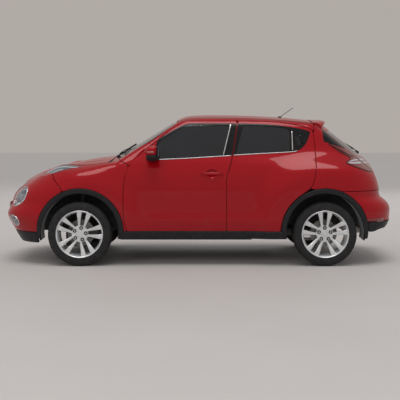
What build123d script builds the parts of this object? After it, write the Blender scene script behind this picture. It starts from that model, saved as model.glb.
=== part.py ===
"""Subcompact crossover: five doors, high waist, black sill and arch trims, wheels of five double spokes.

The nose points to -X, the car's right is +Y and +Z is up.
The origin lies on the ground under the middle of the car.
Every outer panel is a slab under one closed body surface, cut along the shut lines.
"""
from build123d import *
import os

import numpy as np

os.makedirs("parts", exist_ok=True)

# ---------------------------------------------------------------- driving dimensions, millimetres
FRONT_OVERHANG = 845.0
WHEELBASE = 2530.0
REAR_OVERHANG = 760.0
BODY_WIDTH = 1765.0
ROOF_HEIGHT = 1566.0
TRACK = 1525.0
TYRE_R = 330.0
TYRE_WIDTH = 225.0
RIM_R = 243.0
ARCH_CLEARANCE = 72.0
ARCH_TRIM = 50.0
DOOR_SKIN = 22.0
DOOR_DEPTH = 95.0
SHUT_GAP = 5.0
SEAT_FIT = 0.3
GLASS = 5.0
PANEL = 15.0
SHELL = 28.0
QUARTER_DEPTH = 20.0
BONNET_DEPTH = 20.0
GATE_DEPTH = 36.0
WELL_INSET = 32.0
FRAME_WALL = 69.0
RING_OUT = 10.0
RING_IN = 20.0
SILL_FLOOR = 250.0
BUMPER_FLOOR = 225.0
KNUCKLE_LEAN = 11.0
SPINDLE_R = 29.7
SPINDLE_END = 60.0
COLUMN_R = 14.0

# ---------------------------------------------------------------- what follows from them
LENGTH = FRONT_OVERHANG + WHEELBASE + REAR_OVERHANG
NOSE_X = -LENGTH / 2
TAIL_X = LENGTH / 2
FRONT_AXLE_X = NOSE_X + FRONT_OVERHANG
REAR_AXLE_X = FRONT_AXLE_X + WHEELBASE
ARCH_R = TYRE_R + ARCH_CLEARANCE
TRIM_R = ARCH_R + ARCH_TRIM
ARCH_Z = TYRE_R + 17.0
ARCH_REACH = TRIM_R + 25.5
SILL_TOP = 355.0
WHEEL_Y = TRACK / 2
WIDE = BODY_WIDTH
FRAME_DEPTH = DOOR_SKIN + SEAT_FIT
REACH = 2 * LENGTH

# The body was drawn with these stations; stretching happens between them.
DRAWN_X = (-2067.5, -1700.0, -745.0, 830.0, 1785.0, 2067.5)
REAL_X = (
    NOSE_X,
    FRONT_AXLE_X - ARCH_REACH,
    FRONT_AXLE_X + ARCH_REACH,
    REAR_AXLE_X - ARCH_REACH,
    REAR_AXLE_X + ARCH_REACH,
    TAIL_X,
)
DRAWN_Z = (0.0, 360.0, 1566.0, 3000.0)
REAL_Z = (0.0, SILL_TOP + 5.0, ROOF_HEIGHT, ROOF_HEIGHT + 1434.0)
DRAWN_WIDTH = 1765.0
DRAWN_AXLES = (-1.2225, 1.3075)


def stretch(value, source, target):
    """Piecewise straight map from source stations to target stations, unit slope beyond the ends."""
    low = np.minimum(value - source[0], 0.0)
    high = np.maximum(value - source[-1], 0.0)
    return np.interp(value, source, target) + low + high


def real_x(x):
    return float(stretch(x, DRAWN_X, REAL_X))


def real_z(z):
    return float(stretch(z, DRAWN_Z, REAL_Z))


def real_y(y):
    return y * BODY_WIDTH / DRAWN_WIDTH


def side_points(*points):
    """Points of a side view outline, from drawn (x, z) to real ones."""
    return [(real_x(x), real_z(z)) for x, z in points]


def plan_points(*points):
    """Points of a top view outline, from drawn (x, y) to real ones."""
    return [(real_x(x), real_y(y)) for x, y in points]


def end_points(*points):
    """Points of a front or rear view outline, from drawn (y, z) to real ones."""
    return [(real_y(y), real_z(z)) for y, z in points]


# ---------------------------------------------------------------- the body surface, drawn in metres
SECTION = ((0.20, 0.770), (0.36, 0.826), (0.55, 0.843), (0.78, 0.852), (0.95, 0.838), (1.05, 0.810),
           (1.14, 0.768), (1.30, 0.694), (1.50, 0.598), (1.65, 0.520))
NOSE = ((0.10, -1.800), (0.22, -1.905), (0.38, -2.005), (0.52, -2.0675), (0.61, -2.048),
        (0.71, -2.022), (0.78, -1.970), (0.86, -1.875), (0.95, -1.750))
TAIL = ((0.20, 1.950), (0.36, 2.045), (0.50, 2.0675), (0.60, 2.062), (0.655, 2.020),
        (0.70, 1.966), (0.76, 1.955), (0.92, 1.918), (1.06, 1.893), (1.25, 1.850))


def spline(knots, at):
    """Natural cubic spline through (place, value) knots, straight beyond the ends."""
    x = np.array([knot[0] for knot in knots])
    y = np.array([knot[1] for knot in knots])
    n = len(x)
    h = np.diff(x)
    matrix = np.eye(n)
    right = np.zeros(n)
    for i in range(1, n - 1):
        matrix[i, i - 1:i + 2] = (h[i - 1], 2 * (h[i - 1] + h[i]), h[i])
        right[i] = 6 * ((y[i + 1] - y[i]) / h[i] - (y[i] - y[i - 1]) / h[i - 1])
    bend = np.linalg.solve(matrix, right)
    i = np.clip(np.searchsorted(x, at) - 1, 0, n - 2)
    inside = np.clip(at, x[0], x[-1])
    u = inside - x[i]
    v = x[i + 1] - inside
    cubic = (bend[i] * v**3 + bend[i + 1] * u**3) / (6 * h[i])
    line = (y[i] / h[i] - bend[i] * h[i] / 6) * v + (y[i + 1] / h[i] - bend[i + 1] * h[i] / 6) * u
    first = (y[1] - y[0]) / h[0] - h[0] * bend[1] / 6
    last = (y[-1] - y[-2]) / h[-1] + h[-1] * bend[-2] / 6
    return cubic + line + np.minimum(at - x[0], 0) * first + np.maximum(at - x[-1], 0) * last


def smooth_max(a, b, width):
    return width * np.logaddexp(a / width, b / width)


def smooth_min(a, b, width):
    return -smooth_max(-a, -b, width)


def ease(t):
    """Smooth step from 0 to 1."""
    t = np.clip(t, 0, 1)
    return t**3 * (t * (6 * t - 15) + 10)


def bulge(x, z, centre_x, centre_z, inner, outer):
    """1 within the inner circle, easing to 0 at the outer one."""
    return ease((outer - np.hypot(x - centre_x, z - centre_z)) / (outer - inner))


def half_width(x, z):
    """Half the body's width: an upright section, fuller over the wheels, with a crease low on the doors."""
    width = spline(SECTION, z) - 0.0115 * np.abs(x - 0.1) ** 2.5
    width = width - ease((z - 0.95) / 0.25) * np.where(x > 0, 0.030, 0.020) * x**2
    width = width + 0.040 * bulge(x, z, DRAWN_AXLES[0], 0.40, 0.42, 0.72)
    width = width + 0.052 * bulge(x, z, DRAWN_AXLES[1], 0.42, 0.50, 0.84)
    crease = np.exp(-(((z - 0.465) / 0.07) ** 2)) * ease((x + 0.75) / 0.4) * ease((0.95 - x) / 0.4)
    return width + 0.008 * crease


def top(x, y):
    """Height of bonnet, windscreen, roof and rear window over a point of the plan."""
    ahead = np.maximum(-(x + 0.88), 0)
    behind = np.maximum(x + 0.88, 0)
    bonnet = 1.12 - 0.12 * ahead - 0.10 * ahead**2 - 0.10 * y**2 - 0.5 * behind
    lamp = np.exp(-(((np.abs(y) - 0.60) / 0.11) ** 2)) * np.exp(-(((x + 1.52) / 0.24) ** 2))
    screen = 1.116 + (x - 0.186 * y**2 + 0.88) * 0.615
    roof = 1.568 - 0.0512 * (x - 0.19) ** 2 - 0.14 * y**2
    rear = 1.455 - 0.79 * (x + 0.474 * y**2 - 1.385)
    upper = smooth_min(smooth_min(screen, roof, 0.022), rear, 0.012)
    return smooth_max(bonnet + 0.042 * lamp, upper, 0.008)


def edge_round(x):
    """Radius-like width of the blend from the sides to the top."""
    return 0.020 + 0.028 * ease((-0.75 - x) / 0.5) + 0.015 * ease((x - 1.2) / 0.4)


def nose(y, z):
    return spline(NOSE, z) + 0.45 * y**4 + 0.55 * y**6


def tail(y, z):
    return spline(TAIL, z) - 0.35 * y**4 - 0.35 * y**6


def body(x, y, z):
    """About the distance outside the body's skin, in drawn metres, at real millimetres."""
    x = stretch(x, REAL_X, DRAWN_X) / 1000
    y = np.abs(y) * DRAWN_WIDTH / BODY_WIDTH / 1000
    z = stretch(z, REAL_Z, DRAWN_Z) / 1000
    shell = smooth_max(y - half_width(x, z), z - top(x, y), edge_round(x))
    ends = np.maximum(nose(y, z) - x, x - tail(y, z))
    return smooth_max(shell, ends, 0.028)


def side_y(x, z):
    """Half width of the finished skin at real (x, z); over the roof's edge it goes on at 45 degrees."""
    x = stretch(x, REAL_X, DRAWN_X) / 1000
    z = stretch(z, REAL_Z, DRAWN_Z) / 1000
    width = half_width(x, z)
    blend = edge_round(x)
    y = width
    for _ in range(3):
        depth = (z - top(x, y)) / blend
        below = np.log1p(-np.exp(np.minimum(depth, -0.693)))
        y = width + blend * np.where(depth < -0.693, below, -(1.386 + depth))
    return y * 1000 * BODY_WIDTH / DRAWN_WIDTH


def spline_face(points):
    """Smooth face through a grid of points."""
    rows = [[Vector(*point) for point in row] for row in points.tolist()]
    return Face.make_surface_from_array_of_points(rows, tol=0.3, min_deg=3, max_deg=3)


def ray_face(origins, directions):
    """Smooth face through the points where rays from inside leave the body, found by halving."""
    inside = np.zeros(origins.shape[:-1])
    outside = np.full(origins.shape[:-1], 2600.0)
    for _ in range(36):
        middle = (inside + outside) / 2
        point = origins + directions * middle[..., None]
        within = body(point[..., 0], point[..., 1], point[..., 2]) < 0
        inside = np.where(within, middle, inside)
        outside = np.where(within, outside, middle)
    return spline_face(origins + directions * inside[..., None])


def grid(first, last, count, other_first, other_last, other_count):
    return np.meshgrid(
        np.linspace(first, last, count), np.linspace(other_first, other_last, other_count), indexing="ij"
    )


def section_rays(x_first, x_last, count, low, high, rows, centre_z):
    """Rays in cross sections, from the middle out to the left, from low to high angles in degrees."""
    x, angle = grid(x_first, x_last, count, np.radians(low), np.radians(high), rows)
    zero = np.zeros_like(x)
    origin = np.stack([x, zero, zero + centre_z], axis=-1)
    return origin, np.stack([zero, -np.cos(angle), np.sin(angle)], axis=-1)


def end_rays(centre_x, forward, z_first, z_last, rows, count=18):
    """Level rays from an upright line on the middle, turning from the end to the left side."""
    z, angle = grid(z_first, z_last, rows, np.radians(-2), np.radians(95), count)
    zero = np.zeros_like(z)
    origin = np.stack([zero + centre_x, zero, z], axis=-1)
    return origin, np.stack([forward * np.cos(angle), -np.sin(angle), zero], axis=-1)


def up_rays(x_first, x_last, count, width_first, width_last, start_z):
    """Upright rays over a plan area as wide as width_first at one end and width_last at the other."""
    x, share = grid(x_first, x_last, count, -1, 1, 15)
    along = (x - x_first) / (x_last - x_first)
    y = share * (width_first + along * (width_last - width_first))
    zero = np.zeros_like(x)
    return np.stack([x, y, zero + start_z], axis=-1), np.stack([zero, zero, zero + 1], axis=-1)


# ---------------------------------------------------------------- shut lines, drawn millimetres
FRONT_EDGE = ((-733, 355), (-768, 480), (-774, 600), (-774, 750), (-764, 880), (-722, 1029),
              (-605, 1157), (-450, 1279), (-297, 1400), (-170, 1478), (-120, 1500))
CENTRE_EDGE = ((293, 355), (293, 900), (360, 1137), (420, 1500))
REAR_TOP = ((761, 1493), (920, 1476), (1079, 1450), (1180, 1418), (1216, 1388))
REAR_EDGE = ((1222, 1300), (1226, 1180), (1222, 1065), (1190, 870), (1150, 800))
BUMPER_EDGE = ((-1405, 765), (-1441, 824), (-1500, 890), (-1552, 955), (-1700, 928), (-1850, 885))

FRONT_WINDOW = ((-430, 1104), (-420, 1255), (-332, 1340), (-241, 1396), (-150, 1442), (-88, 1460),
                (340, 1460), (255, 1141))
REAR_WINDOW = ((388, 1150), (960, 1184), (968, 1400), (920, 1424), (761, 1444), (472, 1458))
BONNET_SIDE = ((-940, -690), (-1211, -655), (-1600, -480), (-1822, -430))
SCREEN_SIDE = ((-717, -649), (-511, -673), (-300, -597), (-226, -553))
SCREEN_BASE = ((-880, 0), (-862, -310), (-810, -620))
COWL_LINE = ((-893, 0), (-900, -400))
GATE_SIDE = ((-520, 690), (-545, 950), (-565, 1100), (-530, 1250), (-490, 1400), (-505, 1460))
LAMP_PLAN = ((-1690, -500), (-1600, -492), (-1400, -592), (-1225, -668), (-1240, -692), (-1450, -708),
             (-1620, -640))
TAIL_LAMP = ((1369, 1262), (1550, 1200), (1733, 1120), (1960, 1100), (1960, 950), (1770, 972),
             (1640, 1015), (1536, 1060), (1440, 1170))
BELT_Z = 1085.0
ROOF_FRONT_X = -222.0
ROOF_REAR_X = 1214.0
ROOF_SIDE_Y = 505.0

FLOOR_HALF = real_y(655)
front_door_line = side_points(*FRONT_EDGE, (413, 1500), (355, 1137), (293, 900), (293, 355))
rear_door_line = side_points(*CENTRE_EDGE, *REAR_TOP, *REAR_EDGE) + [(REAR_AXLE_X - TRIM_R, real_z(355))]

front_edge_x = np.array([real_x(x) for x, z in FRONT_EDGE[:6]])
front_edge_z = np.array([real_z(z) for x, z in FRONT_EDGE[:6]])
FRONT_HINGE_X = float(front_edge_x.min()) + 2.0
FRONT_HINGE_Y = float(side_y(front_edge_x, front_edge_z).max()) + 2.0
centre_z = np.linspace(real_z(355), real_z(900), 12)
REAR_HINGE_X = real_x(293) + 4.0
REAR_HINGE_Y = float(side_y(REAR_HINGE_X + 0 * centre_z, centre_z).max()) + 2.0

# ---------------------------------------------------------------- faces of the body surface
x_grid, z_grid = grid(real_x(-800), real_x(1245), 30, real_z(230), real_z(1515), 22)
door_face = spline_face(np.stack([x_grid, -side_y(x_grid, z_grid), z_grid], axis=-1))
trim_x, trim_z = grid(FRONT_AXLE_X - TRIM_R - 40, REAR_AXLE_X + TRIM_R + 40, 40, 200, ARCH_Z + TRIM_R + 40, 12)
flat = np.zeros_like(trim_x)
trim_face = ray_face(
    np.stack([trim_x, flat, trim_z], axis=-1), np.stack([flat, flat - 1, flat], axis=-1)
)
frame_face = ray_face(*section_rays(real_x(-900), real_x(1240), 26, 10, 70, 18, 700))
fender_face = ray_face(*section_rays(real_x(-1850), real_x(-700), 20, -32, 80, 22, 620))
nose_face = ray_face(*end_rays(real_x(-1350), -1, 190, real_z(975), 18))
tail_face = ray_face(*end_rays(real_x(1100), 1, 250, real_z(1488), 24))
bonnet_face = ray_face(*up_rays(real_x(-1850), real_x(-860), 20, real_y(470), real_y(715), 600))
screen_face = ray_face(*up_rays(real_x(-1000), real_x(-150), 16, real_y(700), real_y(590), 800))
roof_face = ray_face(*up_rays(real_x(-260), real_x(1240), 16, real_y(530), real_y(530), 1000))
gate_y, gate_angle = grid(real_y(-610), real_y(610), 13, np.radians(-20), np.radians(80), 26)
gate_zero = np.zeros_like(gate_y)
gate_face = ray_face(
    np.stack([gate_zero + real_x(1000), gate_y, gate_zero + real_z(900)], axis=-1),
    np.stack([np.cos(gate_angle), gate_zero, np.sin(gate_angle)], axis=-1),
)

LEFT_IN = Vector(0, 1, 0)
SHOULDER_IN = Vector(0, 0.75, -0.66)
NOSE_IN = Vector(0.72, 0.62, -0.3).normalized()
TAIL_IN = Vector(-0.72, 0.62, -0.3).normalized()
GATE_IN = Vector(-0.8, 0, -0.6)
DOWN = Vector(0, 0, -1)
pieces = {}


def deeper(face, direction, depth):
    """The same face, moved inwards."""
    return face.moved(Location(direction * depth))


def both_hands(left):
    """The left-hand piece and its mirror image, as one part."""
    with BuildPart() as pair:
        add(left)
        mirror(left, about=Plane.XZ)
    return pair.part


def outline(plane, points, room=0.0, holes=()):
    """Closed outline on a plane, grown by room, less round holes given as (across, up, radius)."""
    following = points[1:] + points[:1]
    area = sum(a[0] * b[1] - b[0] * a[1] for a, b in zip(points, following))
    with BuildSketch(plane) as shape:
        with BuildLine():
            Polyline(*(points if area > 0 else points[::-1]), close=True)
        make_face()
        if room:
            offset(amount=room, kind=Kind.INTERSECTION)
        for across, up, radius in holes:
            with Locations((across, up)):
                Circle(radius, mode=Mode.SUBTRACT)
    return shape.sketch


def round_outline(plane, across, up, radius):
    """Circle on a plane."""
    with BuildSketch(plane) as shape:
        with Locations((across, up)):
            Circle(radius)
    return shape.sketch


def slab(face, depth, inward, *outlines, less=()):
    """Slab of a depth under a body face, kept inside some outlines and cut away inside others."""
    with BuildPart() as panel:
        extrude(face, amount=depth, dir=inward)
        for shape in outlines:
            extrude(shape, amount=REACH, dir=shape.faces()[0].normal_at(), mode=Mode.INTERSECT)
        for shape in less:
            extrude(shape, amount=REACH, dir=shape.faces()[0].normal_at(), mode=Mode.SUBTRACT)
    return panel.part


def mirrored_outline(points, room=0.0):
    """Plan outline given by its left half, whole across the middle."""
    right = [(x, -y) for x, y in reversed(points)]
    return outline(Plane.XY, list(points) + [point for point in right if abs(point[1]) > 0.01], room)


def block(x, y, z, rounding=0.0):
    """Box given by its ranges along x, y and z, with its edges rounded."""
    with BuildPart() as solid:
        with BuildSketch(Plane.XY.offset(z[0])):
            with Locations(((x[0] + x[1]) / 2, (y[0] + y[1]) / 2)):
                Rectangle(x[1] - x[0], y[1] - y[0])
        extrude(amount=z[1] - z[0])
        if rounding:
            fillet(solid.edges(), rounding)
    return solid.part


def rod(start, end, radius):
    """Round bar between two points."""
    with BuildPart() as bar:
        with BuildSketch(Plane(origin=start, z_dir=Vector(*end) - Vector(*start))):
            Circle(radius)
        extrude(amount=(Vector(*end) - Vector(*start)).length)
    return bar.part


# ---------------------------------------------------------------- doors
def arches(radius):
    return [(FRONT_AXLE_X, ARCH_Z, radius), (REAR_AXLE_X, ARCH_Z, radius)]


def door(line, window):
    """Left door: a full skin with its window cut, and a deep box below the waist inside the edges."""
    below_belt = outline(Plane.XZ, [(NOSE_X, 0), (TAIL_X, 0), (TAIL_X, real_z(BELT_Z)), (NOSE_X, real_z(BELT_Z))])
    skin_line = outline(Plane.XZ, line, -SHUT_GAP / 2, arches(TRIM_R + SHUT_GAP))
    well_line = outline(Plane.XZ, line, -WELL_INSET, arches(TRIM_R + WELL_INSET))
    well_face = deeper(door_face, LEFT_IN, DOOR_SKIN / 2)
    with BuildPart() as leaf:
        add(slab(door_face, DOOR_SKIN, LEFT_IN, skin_line))
        add(slab(well_face, DOOR_DEPTH - DOOR_SKIN / 2, LEFT_IN, well_line, below_belt))
        extrude(outline(Plane.XZ, window), amount=REACH, dir=(0, -1, 0), mode=Mode.SUBTRACT)
    return leaf.part


def door_glass(window):
    """Left window pane, just under the skin, with a hair of room in its frame."""
    return slab(deeper(door_face, LEFT_IN, GLASS), GLASS, LEFT_IN, outline(Plane.XZ, window, -SEAT_FIT))


front_window = side_points(*FRONT_WINDOW)
rear_window = side_points(*REAR_WINDOW)

# door mirror on the front door, and the pull handle of that door
MIRROR_X = real_x(-463)
MIRROR_Z = real_z(1175)
mirror_root_y = float(side_y(MIRROR_X, MIRROR_Z - 85))
with BuildPart() as mirror_head:
    with BuildSketch(Plane.YZ.offset(MIRROR_X - 66)):
        with Locations((-mirror_root_y - 125, MIRROR_Z)):
            RectangleRounded(190, 130, 45)
    extrude(amount=110)
    fillet(mirror_head.faces().sort_by(Axis.X)[0].edges(), 30)
    with BuildSketch(Plane.XY.offset(MIRROR_Z - 95)):
        with Locations((MIRROR_X - 10, -mirror_root_y - 22)):
            RectangleRounded(80, 90, 20)
    extrude(amount=60)
HANDLE_X = real_x(142)
HANDLE_Z = real_z(949)
handle_y = float(side_y(HANDLE_X, HANDLE_Z))
with BuildPart() as handle:
    with BuildSketch(Plane.XZ.offset(handle_y - 12)):
        with Locations((HANDLE_X, HANDLE_Z)):
            SlotOverall(230, 34)
    extrude(amount=44)
    with BuildSketch(Plane.XY.offset(HANDLE_Z - 30)):
        with Locations((HANDLE_X, -handle_y - 10)):
            Rectangle(150, 22)
    extrude(amount=60, mode=Mode.SUBTRACT)
with BuildPart() as front_door_left:
    add(door(front_door_line, front_window))
    add(mirror_head.part)
    add(handle.part)

pieces["front_door_left"] = front_door_left.part
pieces["rear_door_left"] = door(rear_door_line, rear_window)
pieces["front_door_glass_left"] = door_glass(front_window)
pieces["rear_door_glass_left"] = door_glass(rear_window)
for name in ("front_door", "rear_door", "front_door_glass", "rear_door_glass"):
    pieces[name + "_right"] = mirror(pieces[name + "_left"], about=Plane.XZ)

# ---------------------------------------------------------------- side frames: a ring round each door, sill, roof rail
frame_wall_face = deeper(door_face, LEFT_IN, FRAME_DEPTH)
sill_front = FRONT_AXLE_X + TRIM_R + 12
sill_rear = REAR_AXLE_X - TRIM_R - 2
sill_line = outline(
    Plane.XZ,
    [(sill_front, SILL_FLOOR), (sill_rear, SILL_FLOOR), (sill_rear, SILL_TOP + 15), (sill_front, SILL_TOP + 15)],
)
sill_inner = -FLOOR_HALF - SEAT_FIT
sill_plan = outline(Plane.XY, [(NOSE_X, -WIDE), (TAIL_X, -WIDE), (TAIL_X, sill_inner), (NOSE_X, sill_inner)])
rail_line = outline(
    Plane.XZ,
    side_points((-735, 1045), (-880, 1125), (-880, 1620), (1229, 1620), (1229, 1396), (700, 1400), (0, 1400),
                (-500, 1180)),
)
rail_plan = outline(
    Plane.XY,
    plan_points((-890, -900), (-890, -652), *SCREEN_SIDE, (-222, -ROOF_SIDE_Y), (1300, -ROOF_SIDE_Y),
                (1300, -900)),
    -SEAT_FIT,
)
door_lines = (front_door_line, rear_door_line)
rail = slab(frame_face, 60, SHOULDER_IN, rail_line, rail_plan,
            less=[outline(Plane.XZ, line, SHUT_GAP / 2) for line in door_lines])
roof_half = plan_points((ROOF_FRONT_X, -ROOF_SIDE_Y), (ROOF_REAR_X, -ROOF_SIDE_Y))
roof_hole = mirrored_outline(roof_half, SEAT_FIT)
with BuildPart() as side_frame:
    add(slab(frame_wall_face, 2 * FRAME_WALL, LEFT_IN, sill_line, sill_plan))
    for line in door_lines:
        ring_line = outline(Plane.XZ, line, RING_OUT, [(REAR_AXLE_X, ARCH_Z, TRIM_R)])
        opening = outline(Plane.XZ, line, -RING_IN, [(REAR_AXLE_X, ARCH_Z, TRIM_R + RING_IN)])
        add(slab(frame_wall_face, FRAME_WALL, LEFT_IN, ring_line, less=[opening, roof_hole]))
    add(rail)
pieces["side_frames"] = both_hands(side_frame.part)

# ---------------------------------------------------------------- roof, windscreen, bonnet, cowl
pieces["roof_panel"] = slab(roof_face, PANEL, DOWN, mirrored_outline(roof_half))

screen_plan = mirrored_outline(
    plan_points(*SCREEN_BASE, *SCREEN_SIDE), -SEAT_FIT
)
pieces["windscreen"] = slab(screen_face, GLASS, DOWN, screen_plan)

bonnet_half = plan_points(*COWL_LINE, *BONNET_SIDE, (-1838, 0))
pieces["bonnet"] = slab(bonnet_face, BONNET_DEPTH, DOWN, mirrored_outline(bonnet_half, -SHUT_GAP / 2))

cowl_front = [(x + SHUT_GAP, y) for x, y in plan_points(*COWL_LINE, BONNET_SIDE[0])]
cowl_half = cowl_front + plan_points((-880, -655), *reversed(SCREEN_BASE))
pieces["cowl"] = slab(screen_face, 60, DOWN, mirrored_outline(cowl_half, -SEAT_FIT))

# ---------------------------------------------------------------- front fenders and the lamps on their crowns
fender_line = outline(
    Plane.XZ,
    side_points((-850, 1170), (-880, 1124), (-735, 1044), *reversed(FRONT_EDGE[:6]), (-1400, 355),
                *BUMPER_EDGE, (-1850, 1170)),
    -SHUT_GAP / 2,
    [(FRONT_AXLE_X, ARCH_Z, TRIM_R + SEAT_FIT)],
)
under_arch = outline(Plane.XZ, [(NOSE_X, 0), (FRONT_AXLE_X, 0), (FRONT_AXLE_X, ARCH_Z), (NOSE_X, ARCH_Z)])
fender_plan = outline(
    Plane.XY,
    plan_points((-870, -700), *BONNET_SIDE, (-1900, -430), (-1900, -1200), (-600, -1200), (-600, -700)),
    -SHUT_GAP / 2,
)
lamp_plan = outline(Plane.XY, plan_points(*LAMP_PLAN))
lamp_hole = outline(Plane.XY, plan_points(*LAMP_PLAN), SEAT_FIT)
fender = slab(fender_face, PANEL, SHOULDER_IN, fender_line, fender_plan, less=[under_arch, lamp_hole])
pieces["front_fenders"] = both_hands(fender)
crown_band = outline(Plane.XZ, side_points(*BUMPER_EDGE[2:], (-1900, 1300), (-1000, 1300), (-1000, 890)), -SEAT_FIT)
crown_lamp = slab(fender_face, PANEL + 10, SHOULDER_IN, lamp_plan, crown_band)

# ---------------------------------------------------------------- front bumper, grilles and headlamps
HEADLAMP_R = 102.0
HEADLAMP_Y = real_y(-590)
HEADLAMP_Z = real_z(700)
FOG_R = 55.0
FOG_Y = real_y(-640)
FOG_Z = real_z(455)
front_plane = Plane.YZ.offset(-LENGTH)
rear_plane = Plane.YZ
bumper_line = outline(
    Plane.XZ,
    side_points(*BUMPER_EDGE, (-2200, 800)) + [(real_x(-2200), BUMPER_FLOOR), (FRONT_AXLE_X - 30, BUMPER_FLOOR),
                                                 (FRONT_AXLE_X - 30, ARCH_Z)],
    -SHUT_GAP / 2,
    [(FRONT_AXLE_X, ARCH_Z, TRIM_R + SEAT_FIT)],
)
upper_mouth = end_points((10, 910), (-400, 910), (-300, 690), (-235, 630), (10, 630))
lower_mouth = end_points((10, 520), (-440, 520), (-400, 350), (10, 350))
front_bumper_half = slab(
    nose_face, SHELL, NOSE_IN, bumper_line,
    less=[
        mirrored_outline(bonnet_half, SHUT_GAP / 2),
        outline(front_plane, upper_mouth),
        outline(front_plane, lower_mouth),
        round_outline(front_plane, HEADLAMP_Y, HEADLAMP_Z, HEADLAMP_R + SEAT_FIT),
        round_outline(front_plane, FOG_Y, FOG_Z, FOG_R + SEAT_FIT),
    ],
)
pieces["front_bumper"] = both_hands(front_bumper_half)
left_side = outline(Plane.XZ, [(-LENGTH, 0), (LENGTH, 0), (LENGTH, 3000), (-LENGTH, 3000)])
headlamp = slab(nose_face, 80, NOSE_IN, left_side,
                round_outline(front_plane, HEADLAMP_Y, HEADLAMP_Z, HEADLAMP_R))
fog_lamp = slab(nose_face, 45, NOSE_IN, left_side, round_outline(front_plane, FOG_Y, FOG_Z, FOG_R))
with BuildPart() as front_lamps:
    for lamp in (crown_lamp, headlamp, fog_lamp):
        add(lamp)
        mirror(lamp, about=Plane.XZ)
pieces["front_lamps"] = front_lamps.part
grille_face = deeper(nose_face, NOSE_IN, SHELL + SEAT_FIT)
grille_half = slab(grille_face, 10, NOSE_IN, left_side, outline(front_plane, end_points(
    (10, 850), (-410, 850), (-410, 690), (-250, 600), (-250, 560), (-450, 560), (-450, 330), (10, 330))))
pieces["grille"] = both_hands(grille_half)

# ---------------------------------------------------------------- rear quarters, tail lamps, rear bumper
gate_edge = end_points(*GATE_SIDE)
outboard = outline(rear_plane, gate_edge + [(-2 * WIDE, real_z(1460)), (-2 * WIDE, real_z(690))], -SHUT_GAP / 2)
quarter_line = outline(
    Plane.XZ,
    side_points((1229, 1394), (1229, 1700), (2200, 1700), (2200, 768), (1300, 768), *reversed(REAR_EDGE)),
    -SHUT_GAP / 2,
    [(REAR_AXLE_X, ARCH_Z, TRIM_R + SEAT_FIT)],
)
tail_lamp_line = side_points(*TAIL_LAMP)
quarter = slab(tail_face, QUARTER_DEPTH, TAIL_IN, quarter_line, outboard,
               less=[outline(Plane.XZ, tail_lamp_line, SEAT_FIT)])
pieces["rear_quarters"] = both_hands(quarter)
pieces["tail_lamps"] = both_hands(slab(tail_face, SHELL + 20, TAIL_IN, outline(Plane.XZ, tail_lamp_line), outboard))
rear_bumper_line = outline(
    Plane.XZ,
    side_points((1250, 768), (2200, 768), (2200, 345)) + [(REAR_AXLE_X + 30, real_z(345))],
    0,
    [(REAR_AXLE_X, ARCH_Z, TRIM_R + SEAT_FIT)],
)
rear_bumper_end = outline(
    rear_plane,
    end_points((20, 300), (20, 684), (-526, 684), (-526, 768), (-1200, 768), (-1200, 300)),
)
pieces["rear_bumper"] = both_hands(slab(tail_face, SHELL, TAIL_IN, rear_bumper_line, rear_bumper_end))

# ---------------------------------------------------------------- tailgate and its glass
gate_half = end_points((20, 690), *GATE_SIDE, (20, 1460))
gate_top = end_points((20, 1400), (-490, 1400), (-505, 1460), (-505, 1600), (20, 1600))
glass_line = end_points((20, 1120), (-490, 1120), (-455, 1385), (20, 1385))
gate_band = outline(
    Plane.XZ, side_points((ROOF_REAR_X, 1400), (ROOF_REAR_X, 1600), (2200, 1600), (2200, 690), (1500, 690))
)
with BuildPart() as gate:
    add(slab(gate_face, GATE_DEPTH, GATE_IN, gate_band, outline(rear_plane, gate_half, -SHUT_GAP / 2)))
    add(slab(gate_face, GATE_DEPTH, GATE_IN, gate_band, outline(rear_plane, gate_top, -SHUT_GAP / 2)))
    extrude(outline(rear_plane, glass_line), amount=REACH, dir=(1, 0, 0), mode=Mode.SUBTRACT)
pieces["tailgate"] = both_hands(gate.part)
glass_face = deeper(gate_face, GATE_IN, GLASS)
pieces["tailgate_glass"] = both_hands(
    slab(glass_face, GLASS, GATE_IN, left_side, outline(rear_plane, glass_line, -SEAT_FIT))
)

# ---------------------------------------------------------------- sill and arch trims, wheel arch liners
TRIM_PROUD = 7.0
TRIM_DEPTH = FRAME_DEPTH + TRIM_PROUD - 3.0
TRIM_FLOOR = 275.0
trim_out_face = deeper(trim_face, LEFT_IN, -TRIM_PROUD)
with BuildSketch(Plane.XZ) as trim_shape:
    for axle_x in (FRONT_AXLE_X, REAR_AXLE_X):
        with Locations((axle_x, ARCH_Z)):
            Circle(TRIM_R)
    with Locations(((FRONT_AXLE_X + REAR_AXLE_X) / 2, (TRIM_FLOOR + SILL_TOP) / 2)):
        Rectangle(WHEELBASE, SILL_TOP - TRIM_FLOOR)
    for axle_x in (FRONT_AXLE_X, REAR_AXLE_X):
        with Locations((axle_x, ARCH_Z)):
            Circle(ARCH_R, mode=Mode.SUBTRACT)
    with Locations(((FRONT_AXLE_X + REAR_AXLE_X) / 2, TRIM_FLOOR - 500)):
        Rectangle(2 * LENGTH, 1000, mode=Mode.SUBTRACT)
pieces["side_cladding"] = both_hands(slab(trim_out_face, TRIM_DEPTH, LEFT_IN, trim_shape.sketch))

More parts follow.
